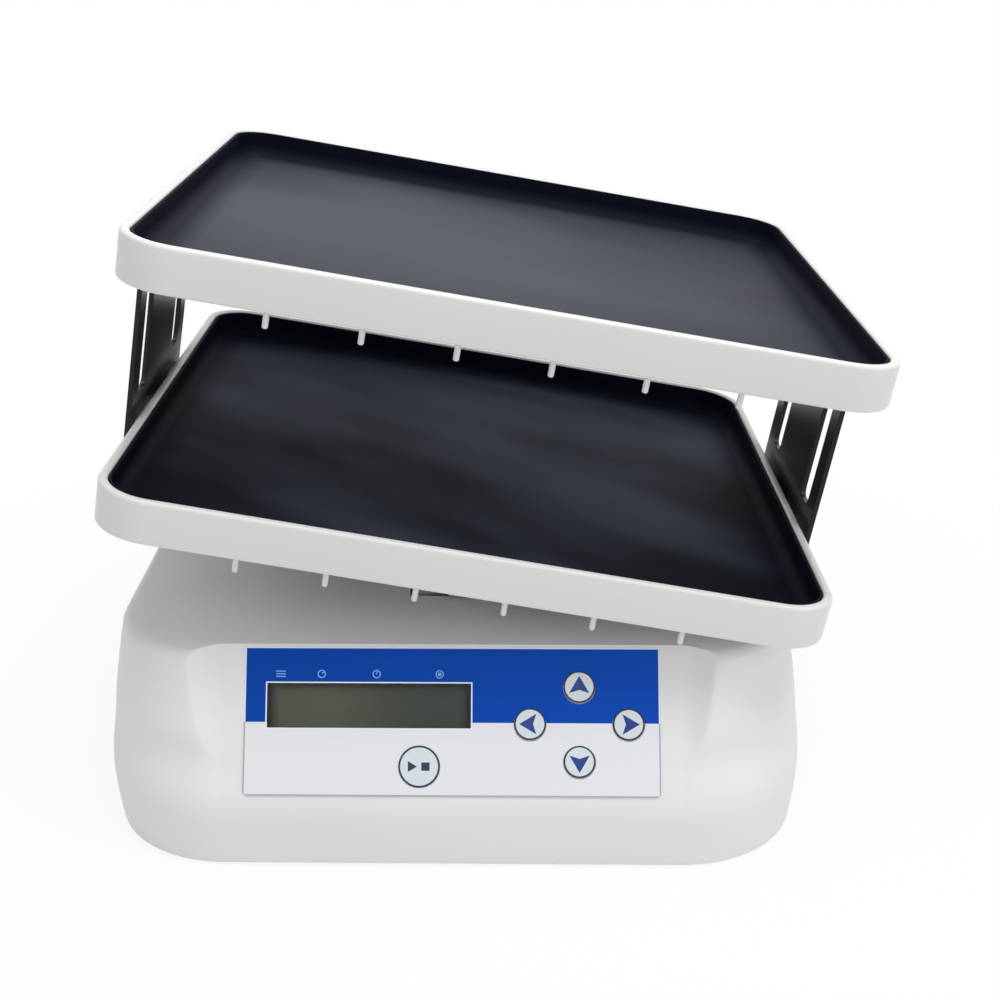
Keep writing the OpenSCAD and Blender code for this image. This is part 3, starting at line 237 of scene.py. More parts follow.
class StageSettings(bpy.types.PropertyGroup):
    """Camera, lights and floor."""

    place: bpy.props.FloatVectorProperty(
        name="Camera", description="Place of the camera", default=(0.01863, -0.68008, 0.37351),
        size=3, unit="LENGTH", subtype="TRANSLATION")
    yaw: angle("Yaw", "Turn to the right", -1.20321)
    pitch: angle("Pitch", "Turn down", 21.6578)
    roll: angle("Roll", "Turn about the view", -0.343775)
    lens: bpy.props.FloatProperty(
        name="Lens", description="Focal length in millimetres", default=54.132)
    shift: bpy.props.FloatVectorProperty(
        name="Shift", description="Shift of the lens, right and up", default=(0.0320, -0.0015), size=2)
    ambient: share("Ambient", "Light from all round", 0.43)
    key: power("Key", "Power of the large lamp", 21.0)
    fill: power("Fill", "Power of the side lamp", 3.8)
    front: power("Front", "Power of the front lamp", 3.5)
    floor: tint("Floor", "Floor under the shaker", 246, 246, 246)
    floor_glow: share("Floor glow", "Share of plain white that the camera sees near the shaker", 0.86)


def settings(name):
    """One of the settings groups kept on the scene."""
    return getattr(bpy.context.scene, "shaker_" + name)


# Wires and materials


class Wire:
    """A socket in a material; sums and products of wires become Math nodes."""

    def __init__(self, recipe, socket):
        self.recipe = recipe
        self.socket = socket

    def math(self, operation, *others, clamp=False):
        """A Math node on this wire and the others."""
        return self.recipe.node(
            "ShaderNodeMath", {"operation": operation, "use_clamp": clamp},
            dict(enumerate((self, *others))))

    def __add__(self, other):
        return self.math("ADD", other)

    __radd__ = __add__

    def __sub__(self, other):
        return self.math("SUBTRACT", other)

    def __rsub__(self, other):
        return self.math("MULTIPLY_ADD", -1.0, other)

    def __mul__(self, other):
        return self.math("MULTIPLY", other)

    __rmul__ = __mul__

    def __truediv__(self, other):
        return self.math("DIVIDE", other)

    def __rtruediv__(self, other):
        return self.math("POWER", -1.0) * other

    def __neg__(self):
        return self.math("MULTIPLY", -1.0)

    def __abs__(self):
        return self.math("ABSOLUTE")

    def least(self, other):
        """The smaller of two wires."""
        return self.math("MINIMUM", other)

    def most(self, other):
        """The larger of two wires."""
        return self.math("MAXIMUM", other)

    def clamped(self, gain=1.0):
        """This wire times a gain, held between 0 and 1."""
        return self.math("MULTIPLY", gain, clamp=True)

    def inside(self, soft=0.08):
        """1 where a distance is negative and 0 where it is positive, over a soft edge."""
        return self.math("MULTIPLY_ADD", -1.0 / soft, 0.5, clamp=True)


class Recipe:
    """The nodes of a material, or of a world: usual inputs, patterns and the surface that they feed."""

    def __init__(self, name, world=False):
        self.owner = (bpy.data.worlds if world else bpy.data.materials).new(name)
        self.owner.use_nodes = True
        self.tree = self.owner.node_tree
        self.surface = self.tree.nodes["Background" if world else "Principled BSDF"]

    def node(self, kind, options=None, inputs=None, out=0):
        """Adds a node: sets its options, then its inputs, by name or number, as values or wires."""
        made = self.tree.nodes.new(kind)
        for key, value in (options or {}).items():
            setattr(made, key, value)
        for key, value in (inputs or {}).items():
            self.feed(made.inputs[key], value)
        return Wire(self, made.outputs[out])

    def feed(self, socket, value):
        """Links a wire to a socket, or sets the socket's value."""
        if isinstance(value, Wire):
            self.tree.links.new(value.socket, socket)
        else:
            socket.default_value = value

    def place(self):
        """Object coordinates in metres."""
        return self.node("ShaderNodeTexCoord", out="Object")

    def flat(self, matrix):
        """Object coordinates as x, y and z in millimetres in the frame of a matrix."""
        inner = self.node("ShaderNodeMapping", {"vector_type": "TEXTURE"}, {
            "Vector": self.place(), "Location": matrix.to_translation(),
            "Rotation": matrix.to_euler(), "Scale": (MM, MM, MM)})
        split = self.node("ShaderNodeSeparateXYZ", None, {"Vector": inner})
        return [Wire(self, out) for out in split.socket.node.outputs]

    def noise(self, scale, detail=2.0, rough=0.5, stretch=(1.0, 1.0, 1.0), turn=0.0):
        """Cloudy noise from 0 to 1: cycles per metre, drawn out along axes turned about Z."""
        spot = self.node("ShaderNodeMapping", {"vector_type": "TEXTURE"}, {
            "Vector": self.place(), "Rotation": (0.0, 0.0, turn), "Scale": stretch})
        return self.node("ShaderNodeTexNoise", None, {
            "Vector": spot, "Scale": scale, "Detail": detail, "Roughness": rough}, "Fac")

    def cells(self, scale):
        """Distance to the nearest of scattered cell centres; scale is in cells per metre."""
        return self.node(
            "ShaderNodeTexVoronoi", None, {"Vector": self.place(), "Scale": scale}, "Distance")

    def seen(self):
        """1 for camera, mirror and see-through rays."""
        path = self.node("ShaderNodeLightPath", out="Is Camera Ray")
        rays = path.socket.node.outputs
        mirror, through = Wire(self, rays["Is Glossy Ray"]), Wire(self, rays["Is Transmission Ray"])
        return path.most(mirror).most(through)

    def mix(self, factor, a, b):
        """Colour between a, at 0, and b, at 1."""
        return self.node("ShaderNodeMix", {"data_type": "RGBA"}, {0: factor, 6: a, 7: b}, 2)

    def bump(self, height, distance, strength=1.0, under=None):
        """Normal bent by a height, on top of another bent normal."""
        inputs = {"Height": height, "Distance": distance, "Strength": strength}
        if under is not None:
            inputs["Normal"] = under
        return self.node("ShaderNodeBump", None, inputs)

    def done(self, **inputs):
        """Feeds the surface by the names of its sockets, with _ for a space."""
        for key, value in inputs.items():
            self.feed(self.surface.inputs[key.replace("_", " ")], value)
        return self.owner


def toned(colour, gain):
    """A colour made lighter or darker by a gain."""
    return (*(min(1.0, c * gain) for c in colour[:3]), 1.0)


def plastic(name, colour, rough, grain, wave=0.0, rim=None):
    """Moulded plastic: a faint drift of tone and sheen, fine grain and a slow wave in the surface.

    A rim is a frame, a height in it in millimetres and the colour above that height, a painted
    highlight on the rim's top."""
    r = Recipe(name)
    drift = r.noise(14.0, 3.0)
    fine = r.noise(2600.0, 1.0)
    normal = r.bump(fine, grain, 0.5)
    if wave:
        normal = r.bump(r.noise(9.0, 1.0), wave, 0.6, normal)
    base = r.mix(drift, toned(colour, 0.965), toned(colour, 1.02))
    if rim:
        # Painted highlight: paler colour above the rim height.
        base = r.mix((rim[1] - r.flat(rim[0])[2]).inside(0.8), base, rim[2])
    return r.done(
        Base_Color=base, Roughness=rough - 0.05 + 0.1 * drift + 0.04 * fine, Normal=normal,
        Specular_IOR_Level=0.42)


def rubber_mat(name, colour, reflection, place, drift, reach, level, uneven):
    """Black mat: a painted reflection that fades from a middle and to the upturned edge and is broken
    by smears, over pebble and slow wave.

    The painted reflection's middle and reach are in millimetres; its level and unevenness are plain
    numbers."""
    t = settings("tray")
    r = Recipe(name)
    x, y, z = r.flat(place)
    blotch = r.noise(11.0, 2.0, 0.5, (2.0, 1.0, 1.0), -0.4)
    smear = r.noise(30.0, 2.0, 0.5, (3.0, 1.2, 1.0), -0.25)
    # Painted reflection: a paler patch round a middle, faded towards the upturned edge and kept off it.
    away = disc((x - drift[0]) / reach[0], (y - drift[1]) / reach[1], 0.0, 0.0, 0.0)
    half_width, half_depth = ((v / 2 - t.cove) / MM for v in (t.width, t.depth))
    inward = (half_width - abs(x)).least(half_depth - abs(y)).clamped(1 / 17.0)
    low = ((t.floor + t.mat_floor) / MM + 3.0 - z).clamped(0.5)
    reflection_mask = (level - 0.75 * away + (blotch - 0.5) * uneven).clamped()
    reflection_mask = inward * low * reflection_mask * (0.7 + 0.6 * smear)
    normal = r.bump(r.noise(16.0, 2.0), 0.0011, 0.5, r.bump(r.cells(1500.0), 0.00006, 0.4))
    return r.done(
        Base_Color=r.mix(reflection_mask, colour, reflection), Roughness=0.5 - 0.14 * reflection_mask + 0.08 * smear,
        Normal=normal, Specular_IOR_Level=0.03)


def mat_finish(tier):
    """Finish of one mat with its painted reflection; the upper mat's is greyer and reaches wider."""
    f = settings("finish")
    reflection, *look = (
        (f.lower_mat_reflection, (5.0, 35.0), (108.0, 118.0), 1.15, 2.6),
        (f.upper_mat_reflection, (-60.0, 0.0), (165.0, 160.0), 1.3, 1.0))[tier]
    return rubber_mat("finish_black_mat_" + str(tier), f.mat, reflection, tray_frame(tier), *look)


def tray_finish(tier):
    """Finish of one tray, with a painted highlight as a paler top of the rim."""
    f = settings("finish")
    rim = (tray_frame(tier), settings("tray").height / MM - 0.6, f.rim)
    return plastic("finish_white_tray_" + str(tier), f.tray, 0.30, 0.00002, 0.0004, rim)


def metal(name, colour, rough, stretch=(1.0, 1.0, 1.0), scale=420.0):
    """Bare metal with fine marks that run along one way."""
    r = Recipe(name)
    marks = r.noise(scale, 3.0, 0.6, stretch)
    drift = r.noise(40.0, 2.0)
    return r.done(
        Base_Color=r.mix(marks, toned(colour, 0.86), toned(colour, 1.06)), Metallic=1.0,
        Roughness=rough - 0.08 + 0.12 * marks + 0.06 * drift, Normal=r.bump(marks, 0.00003, 0.35))


def paint(name, colour):
    """Dark stoved paint: gloss over a fine orange peel."""
    r = Recipe(name)
    peel = r.noise(620.0, 2.0)
    drift = r.noise(24.0, 2.0)
    return r.done(
        Base_Color=r.mix(drift, toned(colour, 0.8), toned(colour, 1.25)), Roughness=0.26 + 0.1 * drift,
        Coat_Weight=0.08, Coat_Roughness=0.12, Normal=r.bump(peel, 0.00006, 0.35),
        Specular_IOR_Level=0.25)


def circuit(name, colour):
    """Circuit board: lacquer over darker tracks."""
    r = Recipe(name)
    tracks = r.node("ShaderNodeTexBrick", None, {
        "Vector": r.place(), "Scale": 90.0, "Mortar Size": 0.06, "Color1": (0, 0, 0, 1),
        "Color2": (0, 0, 0, 1), "Mortar": (1, 1, 1, 1)}, "Fac")
    return r.done(
        Base_Color=r.mix(tracks, colour, toned(colour, 1.7)), Roughness=0.35 + 0.1 * tracks,
        Normal=r.bump(tracks, 0.00003, 0.5))


def clear(name):
    """Clear plastic window: nearly all seen through, with a grey haze and faint smears in its sheen."""
    r = Recipe(name)
    smear = r.noise(70.0, 3.0, 0.5, (1.0, 3.3, 3.3))
    return r.done(
        Base_Color=r.mix(smear, (0.03, 0.035, 0.03, 1), (0.16, 0.17, 0.15, 1)),
        Roughness=0.06 + 0.08 * smear, Alpha=0.06 + 0.08 * smear)


def at(x, y, z=0.0):
    """A move by x, y and z."""
    return Matrix.Translation((x, y, z))


def slab(x, y, cx, cy, w, h):
    """Distance to a rectangle about (cx, cy)."""
    return (abs(x - cx) - w / 2).most(abs(y - cy) - h / 2)


def disc(x, y, cx, cy, radius):
    """Distance to a disc about (cx, cy)."""
    return ((x - cx) * (x - cx) + (y - cy) * (y - cy)).math("SQRT") - radius


def slant(across, along, rise, reach):
    """Distance past a slanted line, on which across is reach less rise times along."""
    return (across + along * rise - reach) * (1 / math.hypot(1.0, rise))


def console_frame():
    """Frame of the console: origin at its top edge, Y up the slope and Z out of the face."""
    c = settings("console")
    return at(0, -c.ahead, settings("shell").deck) @ Matrix.Rotation(math.pi / 2 - c.lean, 4, "X")


def sheet_size():
    """Width and height of the printed sheet in millimetres, from its solid."""
    low, high = (Vector(v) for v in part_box("keypad_sheet"))
    c = settings("console")
    rise = high.z - low.z - c.thick * math.sin(c.lean)
    return (high.x - low.x) / MM, rise / math.cos(c.lean) / MM


def panel_frame():
    """Frame of the printed sheet: origin at the middle of its top edge."""
    return console_frame() @ at(0, -settings("console").drop)


def node_place(node):
    """Centre of a node on the printed sheet in millimetres: across, and down from the top edge."""
    low, high = (Vector(v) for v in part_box(node))
    spot = panel_frame().inverted() @ ((low + high) / 2)
    return spot.x / MM, -spot.y / MM


def key_frame(node):
    """Frame of a key: the printed sheet's, moved to the key."""
    across, down = node_place(node)
    return panel_frame() @ at(across * MM, -down * MM)


def display_place():
    """Place and size of the display's view on the sheet in millimetres: across, down, width, height."""
    c = settings("console")
    return [v / MM for v in (c.window_x, c.window_down, c.window_width, c.window_height)]


def print_sheet(name):
    """Printed sheet: blue band over a pale half, edge lines of painted highlight along the band and
    painted shade along the pale half, a framed display and small signs.
    """
    c = settings("console")
    r = Recipe(name)
    x, y, _ = r.flat(panel_frame())
    v = -y
    w, h = sheet_size()
    lcd_x, lcd_v, lcd_w, lcd_h = display_place()
    sweep = r.noise(20.0, 2.0)
    blue = r.mix((x / w + 0.5).math("MULTIPLY_ADD", 0.8, 0.1, clamp=True), c.blue, c.blue_far)
    blue = r.mix(sweep * 0.25, blue, toned(c.blue, 0.8))
    pale = r.mix(sweep * 0.6, c.pale, toned(c.pale, 0.95))
    upper = (v - c.band / MM).inside()
    colour = r.mix(upper, pale, blue)
    # Edge lines: painted highlight along the blue band, painted shade along the pale half.
    edge = (-(slab(x, v, 0.0, h / 2, w, h)) - 0.55).inside()
    colour = r.mix(edge, colour, r.mix(upper, c.shade_line, c.line))
    around = (abs(slab(x, v, lcd_x, lcd_v, lcd_w + 0.7, lcd_h + 0.7)) - 0.28).inside()
    colour = r.mix(around, colour, c.line)
    top, list_x, dial_x, clock_x, state_x, ring = 11.1, -70.6, -53.7, -31.0, -5.0, 1.5
    bars = [slab(x, v, list_x, top + d, 4.0, 0.42) for d in (-1.1, 0.0, 1.1)]
    dial = abs(disc(x, v, dial_x, top, ring)) - 0.22
    dial = dial.least(slab(x, v, dial_x + 0.5, top - 0.5, 1.0, 0.4))
    clock = abs(disc(x, v, clock_x, top, ring)) - 0.22
    clock = clock.least(slab(x, v, clock_x, top - 0.55, 0.36, 1.3))
    state = disc(x, v, state_x, top, ring / 2).least(abs(disc(x, v, state_x, top, ring)) - 0.2)
    signs = bars[0].least(bars[1]).least(bars[2]).least(dial).least(clock).least(state)
    colour = r.mix(signs.inside(0.12), colour, c.sign)
    fine = r.noise(1800.0, 2.0)
    return r.done(
        Base_Color=colour, Roughness=0.38 + 0.1 * fine, Normal=r.bump(fine, 0.00002, 0.4),
        Specular_IOR_Level=0.07)


def key_print(name, node, radius, turn):
    """Face of a key: a dark ring near its edge and a turned arrow, or play and stop signs."""
    c = settings("console")
    r = Recipe(name)
    u, w, _ = r.flat(key_frame(node) @ Matrix.Rotation(turn or 0.0, 4, "Z"))
    ring = (-disc(u, w, 0.0, 0.0, radius - 0.66)).inside()
    if turn is None:
        back = -4.6
        play = slant(abs(w), u - back, 0.5747, 2.1839).most(back - u)
        sign, ink = play.least(slab(u, w, 2.6, 0.0, 3.4, 3.4)), c.ink
    else:
        head = slant(abs(w), u, 0.5915, 2.66)
        sign, ink = head.most(slant(-u, abs(w), -0.333, 1.2)), c.arrow
    soft = r.noise(900.0, 2.0)
    face = r.mix(soft * 0.5, c.cap, toned(c.cap, 0.94))
    return r.done(
        Base_Color=r.mix(sign.inside(0.1), r.mix(ring, face, c.ink), ink), Roughness=0.3 + 0.1 * soft,
        Normal=r.bump(soft, 0.00002, 0.4), Specular_IOR_Level=0.4)


def display_face(name):
    """Dark display: two rows of faint character cells under a painted reflection of a broad band and
    slow sheen, with painted shade at its edges and top.
    """
    c = settings("console")
    r = Recipe(name)
    x, y, _ = r.flat(panel_frame())
    lcd_x, lcd_v, lcd_w, lcd_h = display_place()
    cell_w, cell_h, columns, rows = 3.7, 5.95, 20, 2
    u = (x - lcd_x) / cell_w + columns / 2
    w = (-y - lcd_v) / cell_h + rows / 2
    column = abs(u.math("FRACT") - 0.5) * cell_w - 1.45
    row = abs(w.math("FRACT") - 0.5) * cell_h - 2.4
    field = slab(u, w, columns / 2, rows / 2, columns, rows)
    cells = column.most(row).most(field).inside(0.2)
    sheen = r.noise(26.0, 2.0, 0.5, (1.0, 5.0, 5.0))
    across, down = (x - lcd_x) / (lcd_w / 2 - 0.5), (-y - lcd_v) / (lcd_h / 2 + 0.2)
    # Painted shade darkens the display's ends and top; a painted reflection lightens a broad band and
    # slow streaks.
    lit = ((1.0 - abs(across)) * 9.0).least((1.0 + down) * 2.4).clamped()
    reflection_band = (1.0 - abs(across + 0.4) * 1.5).clamped()
    face = r.mix((across * 0.9 + 0.5).clamped(), c.glass, c.glass_far)
    shade = r.mix(lit * (0.52 + 0.3 * reflection_band + 0.4 * sheen), (0.004, 0.006, 0.004, 1.0), face)
    return r.done(
        Base_Color=r.mix(cells * 0.16, shade, (0.01, 0.012, 0.01, 1.0)), Roughness=0.3 + 0.1 * sheen,
        Specular_IOR_Level=0.05)


def finish(slot):
    """The material of a record slot, made once."""
    name = "finish_" + slot
    if name in bpy.data.materials:
        return bpy.data.materials[name]
    f, c = settings("finish"), settings("console")
    make, *look = {
        "white_shell": (plastic, f.shell, 0.42, 0.00003, 0.0006),
        "white_tray": (plastic, f.tray, 0.30, 0.00002, 0.0004),
        "dark_plate": (paint, f.plate),
        "printed_sheet": (print_sheet,),
        "clear_window": (clear,),
        "display_dark": (display_face,),
        "display_light": (plastic, c.pale, 0.4, 0.00002),
        "steel": (metal, f.steel, 0.30, (1.0, 17.0, 1.0)),
        "alloy": (metal, f.alloy, 0.42, (1.0, 1.0, 1.0), 900.0),
        "board": (circuit, f.board),
        "black_plastic": (plastic, f.black, 0.40, 0.00004),
        "pale_plastic": (plastic, f.nylon, 0.45, 0.00003),
        "lead": (plastic, f.lead, 0.42, 0.00003),
        "foot_rubber": (plastic, f.rubber, 0.62, 0.00006),
    }[slot]
    return make(name, *look)


# Shapes


def smooth_min(a, b, k):
    """The smaller of a and b, with a rounded change of about k between them."""
    return 0.5 * (a + b - np.sqrt((a - b) ** 2 + k * k))


def circle_rings(radii, heights, steps=40):
    """Rings about Z, one for each radius and height: (cos t, sin t) times the radius."""
    t = np.linspace(0, 2 * np.pi, steps, endpoint=False)
    r = np.asarray(radii, float)[:, None]
    z = np.broadcast_to(np.asarray(heights, float)[:, None], (len(radii), steps))
    return np.stack([r * np.cos(t), r * np.sin(t), z], axis=-1)


def rounded_rings(w, d, corner, insets, heights, steps=14, least=0.0004):
    """Rounded rectangles, one for each inset and height: corner centres plus a shrinking radius."""
    t = np.concatenate([np.linspace(q, q + 1, steps) for q in range(4)]) * np.pi / 2
    sx = np.repeat([1.0, -1.0, -1.0, 1.0], steps)
    sy = np.repeat([1.0, 1.0, -1.0, -1.0], steps)
    e = np.asarray(insets, float)[:, None]
    r = np.maximum(corner - e, least)
    x = sx * (w / 2 - e - r) + r * np.cos(t)
    y = sy * (d / 2 - e - r) + r * np.sin(t)
    return np.stack([x, y, np.broadcast_to(np.asarray(heights, float)[:, None], x.shape)], axis=-1)


def stack(rings):
    """Closed solid of stacked rings: quads between them and one flat face at each end."""
    m, n = rings.shape[:2]
    low = np.arange(m - 1)[:, None] * n
    i = np.arange(n)[None, :]
    j = (i + 1) % n
    quads = np.stack([low + i, low + j, low + n + j, low + n + i], axis=-1).reshape(-1, 4)
    ends = [list(range(n))[::-1], list(range((m - 1) * n, m * n))]
    return rings.reshape(-1, 3), quads.tolist() + ends


def moved(part, matrix):
    """A part's points taken through a matrix."""
    points, faces = part
    m = np.array(matrix)
    return points @ m[:3, :3].T + m[:3, 3], faces


def joined(parts):
    """Several parts as one list of points and one of faces."""
    points, faces, start = [], [], 0
    for p, f in parts:
        points.append(p)
        faces.extend([[k + start for k in face] for face in f])
        start += len(p)
    return np.concatenate(points), faces


def arc(cx, cy, radius, start, end, steps=6):
    """Points of an arc, with its angles in degrees."""
    t = np.radians(np.linspace(start, end, steps))
    return np.stack([cx + radius * np.cos(t), cy + radius * np.sin(t)], axis=-1)


def shaded(mesh, sharp):
    """Smooth shading with edges kept sharp above an angle in degrees."""
    mesh.shade_smooth()
    mesh.set_sharp_from_angle(angle=math.radians(sharp))


def outward(mesh):
    """Turns a mesh's faces outward."""
    work = bmesh.new()
    work.from_mesh(mesh)
    bmesh.ops.recalc_face_normals(work, faces=work.faces)
    work.to_mesh(mesh)
    work.free()


def piece(name, part, slot, body, replaced, material=None, sharp=50):
    """A piece of points and faces that rides on a body and stands for a node."""
    mesh = bpy.data.meshes.new(name)
    mesh.from_pydata(part[0], [], part[1])
    outward(mesh)
    shaded(mesh, sharp)
    obj = bpy.data.objects.new(name, mesh)
    bpy.context.scene.collection.objects.link(obj)
    return settle(obj, slot, body, replaced, material)


def settle(obj, slot, body, replaced, material=None):
    """Gives a piece the finish of its slot, rides it on its body and hides the node it stands for."""
    obj.data.materials.clear()
    obj.data.materials.append(material or finish(slot))
    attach(obj, body)
    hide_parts(replaced)
    return obj


def softened(node, slot, body, width=0.0003, segments=2):
    """A merged copy of a node's mesh with its hard edges bevelled."""
    sharp, plain = 35, math.radians(0.6)
    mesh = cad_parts[node].data.copy()
    mesh.name = node + "_soft"
    work = bmesh.new()
    work.from_mesh(mesh)
    bmesh.ops.remove_doubles(work, verts=work.verts, dist=1e-6)
    bmesh.ops.dissolve_limit(work, angle_limit=plain, verts=work.verts, edges=work.edges)
    bmesh.ops.recalc_face_normals(work, faces=work.faces)
    work.to_mesh(mesh)
    work.free()
    shaded(mesh, sharp)
    obj = bpy.data.objects.new(mesh.name, mesh)
    obj.matrix_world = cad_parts[node].matrix_world
    bpy.context.scene.collection.objects.link(obj)
    bevel = obj.modifiers.new("edges", "BEVEL")
    bevel.width = width
    bevel.segments = segments
    bevel.limit_method = "ANGLE"
    bevel.angle_limit = math.radians(sharp)
    bevel.harden_normals = True
    return settle(obj, slot, body, node)


def painted(node, slot):
    """A node kept as it is, with the finish of its slot."""
    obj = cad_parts[node]
    obj.data.materials.clear()
    obj.data.materials.append(finish(slot))


def ramp(z, start, knee, slope):
    """Zero, then a line of that slope from start, joined by a parabola of half length knee."""
    u = z - start
    return np.where(u <= -knee, 0, np.where(u >= knee, u * slope, slope * (u + knee) ** 2 / (4 * knee)))


def cover_columns():
    """Columns round the cover: angle of the corner arc, side (-1 to 1) and share of the way forward.

    They crowd towards the console's walls."""
    def run(steps, turn, side, ahead, bend=lambda t: t):
        t = bend(np.linspace(0, 1, steps, endpoint=False))
        return [v[0] + (v[1] - v[0]) * t for v in (turn, side, ahead)]

    runs = [
        run(32, (0, 90), (1, 1), (0, 0)),
        run(150, (90, 90), (1, -1), (0, 0)),
        run(32, (90, 180), (-1, -1), (0, 0)),
        run(40, (180, 180), (-1, -1), (0, 1)),
        run(90, (180, 270), (-1, -1), (1, 1), lambda t: 1 - (1 - t) ** 1.6),
        run(100, (270, 270), (-1, 1), (1, 1), lambda t: t - np.sin(2 * np.pi * t) / 9),
        run(90, (270, 360), (1, 1), (1, 1), lambda t: t ** 1.6),
        run(40, (360, 360), (1, 1), (1, 0))]
    return [np.concatenate(column)[None, :] for column in zip(*runs)]


def cover_skin(heights, inset, top, edge):
    """Rings of the cover's skin: corner arcs whose radius shrinks with the draw-in, then two cuts.

    The console cut lowers the height above the console's plane to a soft minimum of itself and the
    coved walls; the rear pocket does the same with the distance from its face."""
    s, c, o = settings("shell"), settings("console"), settings("opening")
    z = np.asarray(heights, float)[:, None]
    turn, side, ahead = cover_columns()
    above = np.clip((z - s.belly) / (s.deck - s.belly), 0, None)
    below = np.clip((s.belly - z) / (s.belly - s.foot), 0, None)
    drop = np.clip(z - top + edge, 0, edge)
    draw = s.draw_top * above ** 1.5 + s.draw_foot * below ** 2 + inset
    draw = draw + edge - np.sqrt(edge ** 2 - drop ** 2)
    slow_knee, knee, slant_face = 0.008, 0.005, math.tan(c.lean)
    lean = ramp(z, s.lean_from, slow_knee, slant_face) - ramp(z, s.cheek_from, knee, slant_face)
    lean = lean + ramp(z, s.cheek_from + s.cheek_rise, knee, math.tan(s.cheek_lean))
    radius = s.corner - draw
    y_front = draw + lean + radius - s.front
    y_back = s.back - s.corner
    a = np.radians(turn)
    x = side * (s.width / 2 - s.corner) + radius * np.cos(a)
    y = y_back + (y_front - y_back) * ahead + radius * np.sin(a)
    z = np.broadcast_to(z, x.shape)
    # Console
    soft, least_blend, rim_start, rim_run, front_from = 0.001, 0.0006, 0.004, 0.006, 0.3
    normal = (-math.cos(c.lean), math.sin(c.lean))
    high = (y + c.ahead) * normal[0] + (z - s.deck) * normal[1]
    u = np.abs(x) - c.width / 2
    near = np.clip((u + rim_start) / rim_run, 0, 1)
    blend = least_blend + s.rim_blend * near * near * (3 - 2 * near)
    u = 0.5 * (u + np.sqrt(u * u + soft ** 2))
    wall = u * c.slope + u * u / (2 * c.cove) - inset
    front = ahead + 0 * high > front_from
    cut = np.where(front, high - smooth_min(high, wall, blend), 0)
    lip = -smooth_min(-y, c.ahead + (wall + (s.deck - z) * normal[1]) / math.cos(c.lean), blend)
    on_deck = front & (z > top - 1e-7)
    y, z = np.where(on_deck, lip, y - cut * normal[0]), np.where(on_deck, z, z - cut * normal[1])
    # Rear pocket
    rear_from, pocket_blend = 0.1, 0.0008
    qx = np.abs(x - o.pocket_x) - o.pocket_width / 2 + o.pocket_corner
    qz = np.abs(z - o.rear_up) - o.pocket_height / 2 + o.pocket_corner
    away = np.hypot(np.maximum(qx, 0), np.maximum(qz, 0)) + np.minimum(np.maximum(qx, qz), 0)
    away = np.maximum(away - o.pocket_corner - inset, 0)
    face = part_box("switch_frame")[1][1] - o.flange - inset + o.pocket_slope * away
    y = np.where(y > rear_from, smooth_min(y, face, pocket_blend), y)
    return np.stack([x, y, z], axis=-1)


def drum(radius, low, high, steps):
    """Cutter: a cylinder between two heights."""
    return stack(circle_rings([radius, radius], [low, high], steps))


def prism(w, d, low, high, corner=0.0):
    """Cutter: a rectangle between two heights, with sharp or rounded corners."""
    tiny = 1e-5
    rings = rounded_rings(w, d, corner or tiny, [0.0, 0.0], [low, high], 8 if corner else 2, tiny)
    return stack(rings)


def sheet_seat():
    """Cutter of the shallow seat that the printed sheet and the keys lie in."""
    o = settings("opening")
    w, h = (v * MM for v in sheet_size())
    block = prism(w + 2 * o.seat_gap, h + 2 * o.seat_gap, -o.seat_depth, 0.01, o.seat_corner)
    return moved(block, panel_frame() @ at(0, -h / 2))


def carve(obj, part):
    """Cuts a part out of a piece and keeps the result as its mesh."""
    tool = bpy.data.meshes.new("cutter")
    tool.from_pydata(part[0], [], part[1])
    outward(tool)
    cutter = bpy.data.objects.new("cutter", tool)
    bpy.context.scene.collection.objects.link(cutter)
    cut = obj.modifiers.new("cut", "BOOLEAN")
    cut.operation = "DIFFERENCE"
    cut.solver = "EXACT"
    cut.object = cutter
    bpy.context.view_layer.update()
    done = bpy.data.meshes.new_from_object(obj.evaluated_get(bpy.context.evaluated_depsgraph_get()))
    if len(done.polygons) < len(obj.data.polygons) // 2:
        raise RuntimeError("a cut in " + obj.name + " failed")
    obj.modifiers.clear()
    obj.data = done
    bpy.data.objects.remove(cutter)


def cover_cutters():
    """Cutters of the wells, the lever's slot, the display, the key stems, the switch and the inlet."""
    s, c, o = settings("shell"), settings("console"), settings("opening")
    deck, face = (s.deck - 0.013, s.deck + 0.012), (-0.01, 0.01)
    back = (-s.back - 0.008, -s.back + 0.022)
    rear = Matrix.Rotation(math.pi / 2, 4, "X")
    well = prism(o.well_width, o.well_depth, *deck)
    window = prism(c.window_width + o.window_lap, c.window_height + o.window_lap, *face)
    return joined([
        moved(well, at(0, -o.well_away)), moved(well, at(0, o.well_away)),
        moved(prism(o.slot_width, o.slot_depth, *deck), at(0, -o.slot_ahead)),
        moved(window, panel_frame() @ at(c.window_x, -c.window_down)),
        *(moved(drum(o.stem, *face, 24), key_frame(node)) for node in KEYS),
        moved(prism(o.switch_width, o.switch_height, *back), at(o.switch_x, 0, o.rear_up) @ rear),
        moved(drum(o.inlet, *back, 40), at(o.inlet_x, 0, o.rear_up) @ rear)])


